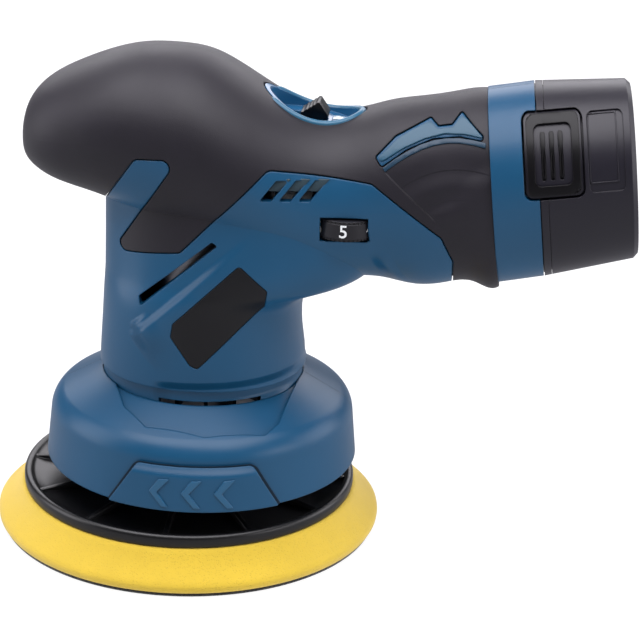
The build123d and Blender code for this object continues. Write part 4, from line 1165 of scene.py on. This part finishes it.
# ---- Speed dial ----------------------------------------------------------------------------
@dataclass
class SpeedDial(SubAssembly):
    """The thumb wheel: two milled rims and a smooth band with the numbers 1 to 6."""

    axis: Flat = (45.5, -20.4)
    low: float = 106.0
    height: float = 6.4
    radius: float = 8.75
    groove: float = 0.15
    rim_height: float = 0.85
    tooth_height: float = 0.22
    teeth: int = 40
    shown: int = 5
    step_deg: float = 60.0
    figure_height: float = 3.9
    figure_share: float = 0.7

    def wheel(self) -> Piece:
        """The wheel, with its teeth raised from every other face of its rims.

        Returns:
            The wheel.
        """
        low, top, reach, rim = self.low, self.low + self.height, self.radius, self.rim_height
        inner = reach - self.groove
        rings = [(1.5, low - 3.0), (1.5, low), (reach - 0.7, low), (inner, low + 0.2),
                 (inner, low + rim), (reach, low + rim + 0.12), (reach, top - rim - 0.12),
                 (inner, top - rim), (inner, top - 0.2), (reach - 0.7, top), (3.0, top),
                 (2.4, top - 0.8)]
        wheel = turned("dial_wheel", self.axis, rings, 4 * self.teeth)

        def on_tooth(middle: Vector, normal: Vector) -> bool:
            """Whether a face is the outside of a tooth.

            Args:
                middle: The face's centre.
                normal: Its normal.

            Returns:
                Whether it is.
            """
            turn = math.atan2(middle.y / MM - self.axis[1], middle.x / MM - self.axis[0])
            steps = math.floor((turn / (2 * math.pi) + 0.5) * 2 * self.teeth)
            level = min(middle.z / MM - low, top - middle.z / MM)
            return steps % 2 == 0 and 0.2 < level < rim and abs(normal.z) < 0.3

        with editing(wheel):
            pick_faces(wheel, on_tooth)
            bpy.ops.mesh.extrude_region_shrink_fatten(
                TRANSFORM_OT_shrink_fatten={"value": -self.tooth_height * MM})
        return wheel

    def figure(self, number: int, wheel: Piece) -> Piece:
        """One number, standing on the wheel's band.

        Args:
            number: The number.
            wheel: The wheel that it is laid on.

        Returns:
            The number's mesh, turned to its place.
        """
        bpy.ops.object.select_all(action="DESELECT")
        middle = (self.axis[0], self.axis[1] - self.radius - 2.0, self.low + self.height / 2)
        bpy.ops.object.text_add(location=[length * MM for length in middle],
                                rotation=(math.radians(90.0), 0.0, 0.0))
        piece = bpy.context.active_object
        piece.data.body = str(number)
        piece.data.size = self.figure_height * MM / self.figure_share
        piece.data.align_x, piece.data.align_y = "CENTER", "CENTER"
        piece.data.offset = 0.05 * MM
        bpy.ops.object.convert(target="MESH")
        settle(piece)
        slice_up(piece, 0.35)
        modify(piece, "SHRINKWRAP", target=wheel, wrap_method="PROJECT", use_project_y=True,
               use_positive_direction=True)
        modify(piece, "SOLIDIFY", thickness=0.06 * MM, offset=1.0)
        with editing(piece, everything=True):
            turn_about(self.axis, math.radians((number - self.shown) * self.step_deg))
        return piece

    def build(self) -> None:
        """Makes the wheel and its numbers."""
        wheel = self.wheel()
        figures = [self.figure(number, wheel) for number in range(1, 7)]
        self.dress(wheel, WHEEL, "dial", "black_plastic", "speed_dial", smooth_deg=30.0)
        self.dress(join("dial_numbers", figures), WHITE_INK, "dial", "black_plastic")


# ---- Power switch --------------------------------------------------------------------------
@dataclass
class PowerSwitch(SubAssembly):
    """The slider in its dish, the rim round the dish and the lamp's window."""

    middle: Flat = (32.6, 137.1)
    tilt_deg: float = 7.0
    knob_width: float = 8.8
    stem_width: float = 4.0
    window_width: float = 4.3
    rim_reach: Flat = (15.0, 10.2)
    rim_spread: Flat = (1.03, 1.05)
    rim_radius: float = 1.1
    rim_sunk: float = 0.45

    def tilted(self, points: Outline) -> list[Flat]:
        """Points given in the dish's own frame, as X and Z."""
        run, rise = math.cos(math.radians(self.tilt_deg)), math.sin(math.radians(self.tilt_deg))
        return [(self.middle[0] + x * run + z * rise, self.middle[1] - x * rise + z * run)
                for x, z in points]

    def knob(self) -> None:
        """The wedge, with three grip steps down its front and a stem below."""
        profile = [(-1.1, -6.2), (2.7, -6.2), (2.7, 0.35), (5.0, 0.35), (5.05, 1.7), (1.75, 5.35),
                   (1.1, 5.3), (0.3, 4.35), (0.0, 4.4), (-0.6, 3.5), (-0.9, 3.55), (-1.6, 2.65),
                   (-1.9, 2.7), (-2.7, 1.75), (-3.45, 1.45), (-3.45, 0.35), (-1.1, 0.35)]
        knob = slab("slide_knob", self.tilted(profile), 0.12, self.knob_width)
        soften(knob, 0.3)
        with editing(knob):
            pick_faces(knob, lambda middle, normal: middle.z < 137.0 * MM)
            bpy.ops.transform.resize(value=(1.0, self.stem_width / self.knob_width, 1.0),
                                     center_override=(0.0, 0.0, 0.0))
        self.dress(knob, KNOB, "slider", "black_plastic", "slider_knob")

    def window(self) -> None:
        """The crowned lamp window behind the slider."""
        profile = [(6.35, -1.55), (11.25, -1.55), (11.25, 0.5), (9.9, 0.85), (7.7, 0.85),
                   (6.35, 0.5)]
        window = slab("lamp_window", self.tilted(profile), 0.2, self.window_width)
        soften(window, 0.4, 4)
        self.dress(window, LENS, "housing", "lens_plastic", "power_lens")

    def rim(self) -> None:
        """A broad bead along the dish's edge."""
        length, width = self.rim_reach
        rim = ring("dish_rim", (self.middle[0], 0.0, 165.0), length, 96)
        pivot = (self.middle[0] * MM, 0.0, 0.0)
        with editing(rim, everything=True):
            bpy.ops.transform.resize(value=(1.0, width / length, 1.0), center_override=pivot)
        modify(rim, "SHRINKWRAP", target=frame["nodes"]["switch_bezel"], wrap_method="PROJECT",
               use_project_z=True, use_negative_direction=True, use_positive_direction=False)
        modify(rim, "SMOOTH", factor=0.5, iterations=4)
        with editing(rim, everything=True):
            bpy.ops.transform.resize(value=(*self.rim_spread, 1.0), center_override=pivot)
            shift(z=-self.rim_sunk)
        select_only(rim)
        bpy.ops.object.convert(target="CURVE")
        rim.data.bevel_depth, rim.data.bevel_resolution = self.rim_radius * MM, 5
        bpy.ops.object.convert(target="MESH")
        # The bead's paler blue is painted highlight along the dish's edge.
        self.dress(rim, RIM_LIT_BLUE, "housing", "blue_gloss")

    def build(self) -> None:
        """Makes the three pieces."""
        self.knob()
        self.window()
        self.rim()


# ---- Battery -------------------------------------------------------------------------------
def on_handle(along: float, up: float) -> Flat:
    """X and Z of a side-view point in the tilted handle's own frame."""
    run, rise = math.cos(HANDLE_TILT), math.sin(HANDLE_TILT)
    return HANDLE_FOOT[0] + along * run - up * rise, HANDLE_FOOT[1] + along * rise + up * run


def handle_block(start: float, end: float, low: float, high: float) -> list[Flat]:
    """A rectangle in the handle's frame, as X and Z."""
    return [on_handle(start, low), on_handle(end, low), on_handle(end, high),
            on_handle(start, high)]


@dataclass
class BatteryTrim(SubAssembly):
    """The rims and ribs of the release buttons, the bare panels' frames, and dark rings of painted
    shadow in the joints across the battery.
    """

    rib_starts: tuple[float, ...] = (15.0, 17.6, 20.2)
    rib_width: float = 1.35
    rim_lay: Lay = Lay(corner=1.7, sunk=0.1, proud=0.85, pitch=1.4, edge=0.35)
    rib_lay: Lay = Lay(corner=0.6, sunk=0.3, proud=0.65, pitch=1.6, edge=0.3)
    line_lay: Lay = Lay(corner=0.9, sunk=0.05, proud=0.22, pitch=1.6, edge=0.1, rounds=2)
    seal_middle: float = 0.9
    seal_stretch: float = 1.04
    seal_open: Flat = (2.0, 28.0)

    def button(self, side: Side) -> None:
        """The rim and the three ribs of one button.

        Args:
            side: Which button.
        """
        target = frame["nodes"]["latch_button_" + side.word]
        loops = [handle_block(10.9, 26.3, 3.5, 25.1), handle_block(13.1, 24.0, 6.3, 22.7)]
        parts = [trim("button_rim", loops, self.rim_lay, side, target)]
        for start in self.rib_starts:
            outline = handle_block(start, start + self.rib_width, 8.2, 20.9)
            parts.append(trim("button_rib", [outline], self.rib_lay, side, target))
        grip = join("button_grip_" + side.word, parts)
        self.dress(grip, BUTTON, "latch_" + side.word, "battery_plastic")

    def frame_line(self, side: Side) -> None:
        """The fine raised line inside the edge of one bare panel.

        Args:
            side: Which panel.
        """
        loops = [handle_block(28.9, 37.5, 5.9, 24.8), handle_block(29.3, 37.1, 6.3, 24.4)]
        line = trim("panel_line_" + side.word, loops, self.line_lay, side,
                    frame["nodes"]["battery_cap"])
        self.dress(line, BATTERY, "battery", "battery_plastic")

    def seal(self, start: float, end: float, outer: float, inner: float) -> Piece:
        """A flat dark ring in one of the joints across the battery, painted shadow in the joint's
        gap, left open for the buttons.

        Args:
            start: Where it starts along the handle.
            end: Where it ends.
            outer: Its half width.
            inner: The half width of its hole.

        Returns:
            The ring, in two closed arcs.
        """
        section = [(inner, start), (outer, start), (outer, end), (inner, end), (inner, start)]
        seal = turned("battery_seam_shadow", (0.0, 0.0), section, 120)
        x, z = on_handle(0.0, self.seal_middle)
        seal.scale = (self.seal_stretch, 1.0, 1.0)
        seal.rotation_euler = (0.0, math.radians(90.0) - HANDLE_TILT, 0.0)
        seal.location = (x * MM, 0.0, z * MM)
        settle(seal)
        up = Vector((-math.sin(HANDLE_TILT), 0.0, math.cos(HANDLE_TILT)))
        foot = Vector((HANDLE_FOOT[0], 0.0, HANDLE_FOOT[1]))
        low, high = self.seal_open
        with editing(seal):
            pick_faces(seal, lambda middle, normal: low < (middle / MM - foot).dot(up) < high)
            bpy.ops.mesh.delete(type="FACE")
            close_up()
        return seal

    def build(self) -> None:
        """Makes both sides, and the rings of painted shadow round the battery."""
        for side in Side:
            self.button(side)
            self.frame_line(side)
        # Black rings in the two joints across the battery: painted shadow in their gaps.
        seam_shadows = [self.seal(14.05, 14.4, 28.0, 24.0), self.seal(16.3, 16.8, 27.4, 25.8)]
        self.dress(join("battery_seam_shadows", seam_shadows), BLACK, "battery", "black_plastic")


# ---- Studio --------------------------------------------------------------------------------
@dataclass
class Studio:
    """Pale floor, soft boxes and the camera."""

    floor_half: float = 6.0
    eye: Point = (0.0835, -0.5942, 0.2930)
    aim: Point = (0.0373, 0.0, 0.0700)
    roll_deg: float = 2.15
    lens_mm: float = 112.0
    film_mm: float = 36.0

    def build(self) -> None:
        """Sets up the whole studio."""
        self.floor()
        self.world()
        self.lights()
        self.camera()

    def floor(self) -> None:
        """A large pale floor."""
        bpy.ops.object.select_all(action="DESELECT")
        bpy.ops.mesh.primitive_plane_add(size=2 * self.floor_half,
                                         location=(0.0, 0.0, -0.1 * MM))
        floor = bpy.context.active_object
        floor.name = "studio_floor"
        graph = Graph("studio_floor")
        graph.set(Base_Color=(0.2, 0.2, 0.205, 1.0), Roughness=0.8, Specular_IOR_Level=0.1,
                  Emission_Strength=0.88)
        mirrored = graph.node("ShaderNodeLightPath", {}, {}, "Is Glossy Ray")
        graph.feed("Emission Color", graph.blend(mirrored, (1.0, 1.0, 1.0), (0.25, 0.25, 0.27)))
        floor.data.materials.append(graph.material)

    def world(self) -> None:
        """A plain pale surround."""
        world = bpy.data.worlds.new("studio_world")
        world.use_nodes = True
        back = world.node_tree.nodes["Background"]
        back.inputs["Color"].default_value = (1.0, 0.99, 1.0, 1.0)
        back.inputs["Strength"].default_value = 0.1
        bpy.context.scene.world = world

    def soft_box(self, name: str, place: Point, aim: Point, size: tuple[float, float],
                 power: float, tint: Colour = (0.97, 0.95, 1.0)) -> None:
        """One rectangular lamp.

        Args:
            name: The lamp's name.
            place: Where it hangs.
            aim: The point that it faces.
            size: Its width and height.
            power: Its power in watts.
            tint: Its colour.
        """
        data = bpy.data.lights.new(name, "AREA")
        data.shape = "RECTANGLE"
        data.size, data.size_y = size
        data.energy = power
        data.color = tint
        lamp = bpy.data.objects.new(name, data)
        bpy.context.scene.collection.objects.link(lamp)
        lamp.location = place
        away = Vector(place) - Vector(aim)
        lamp.rotation_euler = away.to_track_quat("Z", "Y").to_euler()

    def lights(self) -> None:
        """The key above, and one softer box on each side."""
        middle = (0.04, 0.0, 0.08)
        self.soft_box("key_box", (0.0, -0.16, 0.85), middle, (1.1, 0.8), 13.3)
        self.soft_box("back_box", (0.0, 0.9, 0.55), middle, (1.6, 0.5), 7.0)
        self.soft_box("nose_box", (-0.85, -0.1, 0.35), middle, (0.6, 0.8), 4.0)
        self.soft_box("battery_box", (0.9, 0.25, 0.3), middle, (0.6, 0.6), 3.0)
        self.soft_box("low_box", (0.75, -0.35, 0.22), (0.03, 0.0, 0.04), (0.4, 0.25), 1.2)

    def camera(self) -> None:
        """The camera, looking a little down on the left side."""
        data = bpy.data.cameras.new("camera")
        data.lens, data.sensor_width = self.lens_mm, self.film_mm
        data.clip_start, data.clip_end = 0.01, 100.0
        camera = bpy.data.objects.new("camera", data)
        bpy.context.scene.collection.objects.link(camera)
        camera.location = self.eye
        away = Vector(self.eye) - Vector(self.aim)
        turn = away.to_track_quat("Z", "Y").to_matrix()
        roll = Matrix.Rotation(math.radians(self.roll_deg), 3, "Z")
        camera.rotation_euler = (turn @ roll).to_euler()
        bpy.context.scene.camera = camera
        bpy.context.scene.view_settings.view_transform = "Standard"


def main() -> None:
    """Builds the dressed polisher and its studio."""
    logging.basicConfig(level=logging.INFO, format="%(message)s")
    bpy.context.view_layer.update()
    Studio().build()
    wardrobe = Wardrobe()
    dress_nodes(wardrobe)
    for assembly in (PolishingPad, BellFront, GripTrim, VentBlades, SpeedDial, PowerSwitch,
                     BatteryTrim):
        assembly(wardrobe).build()


if __name__ == "__main__":
    main()
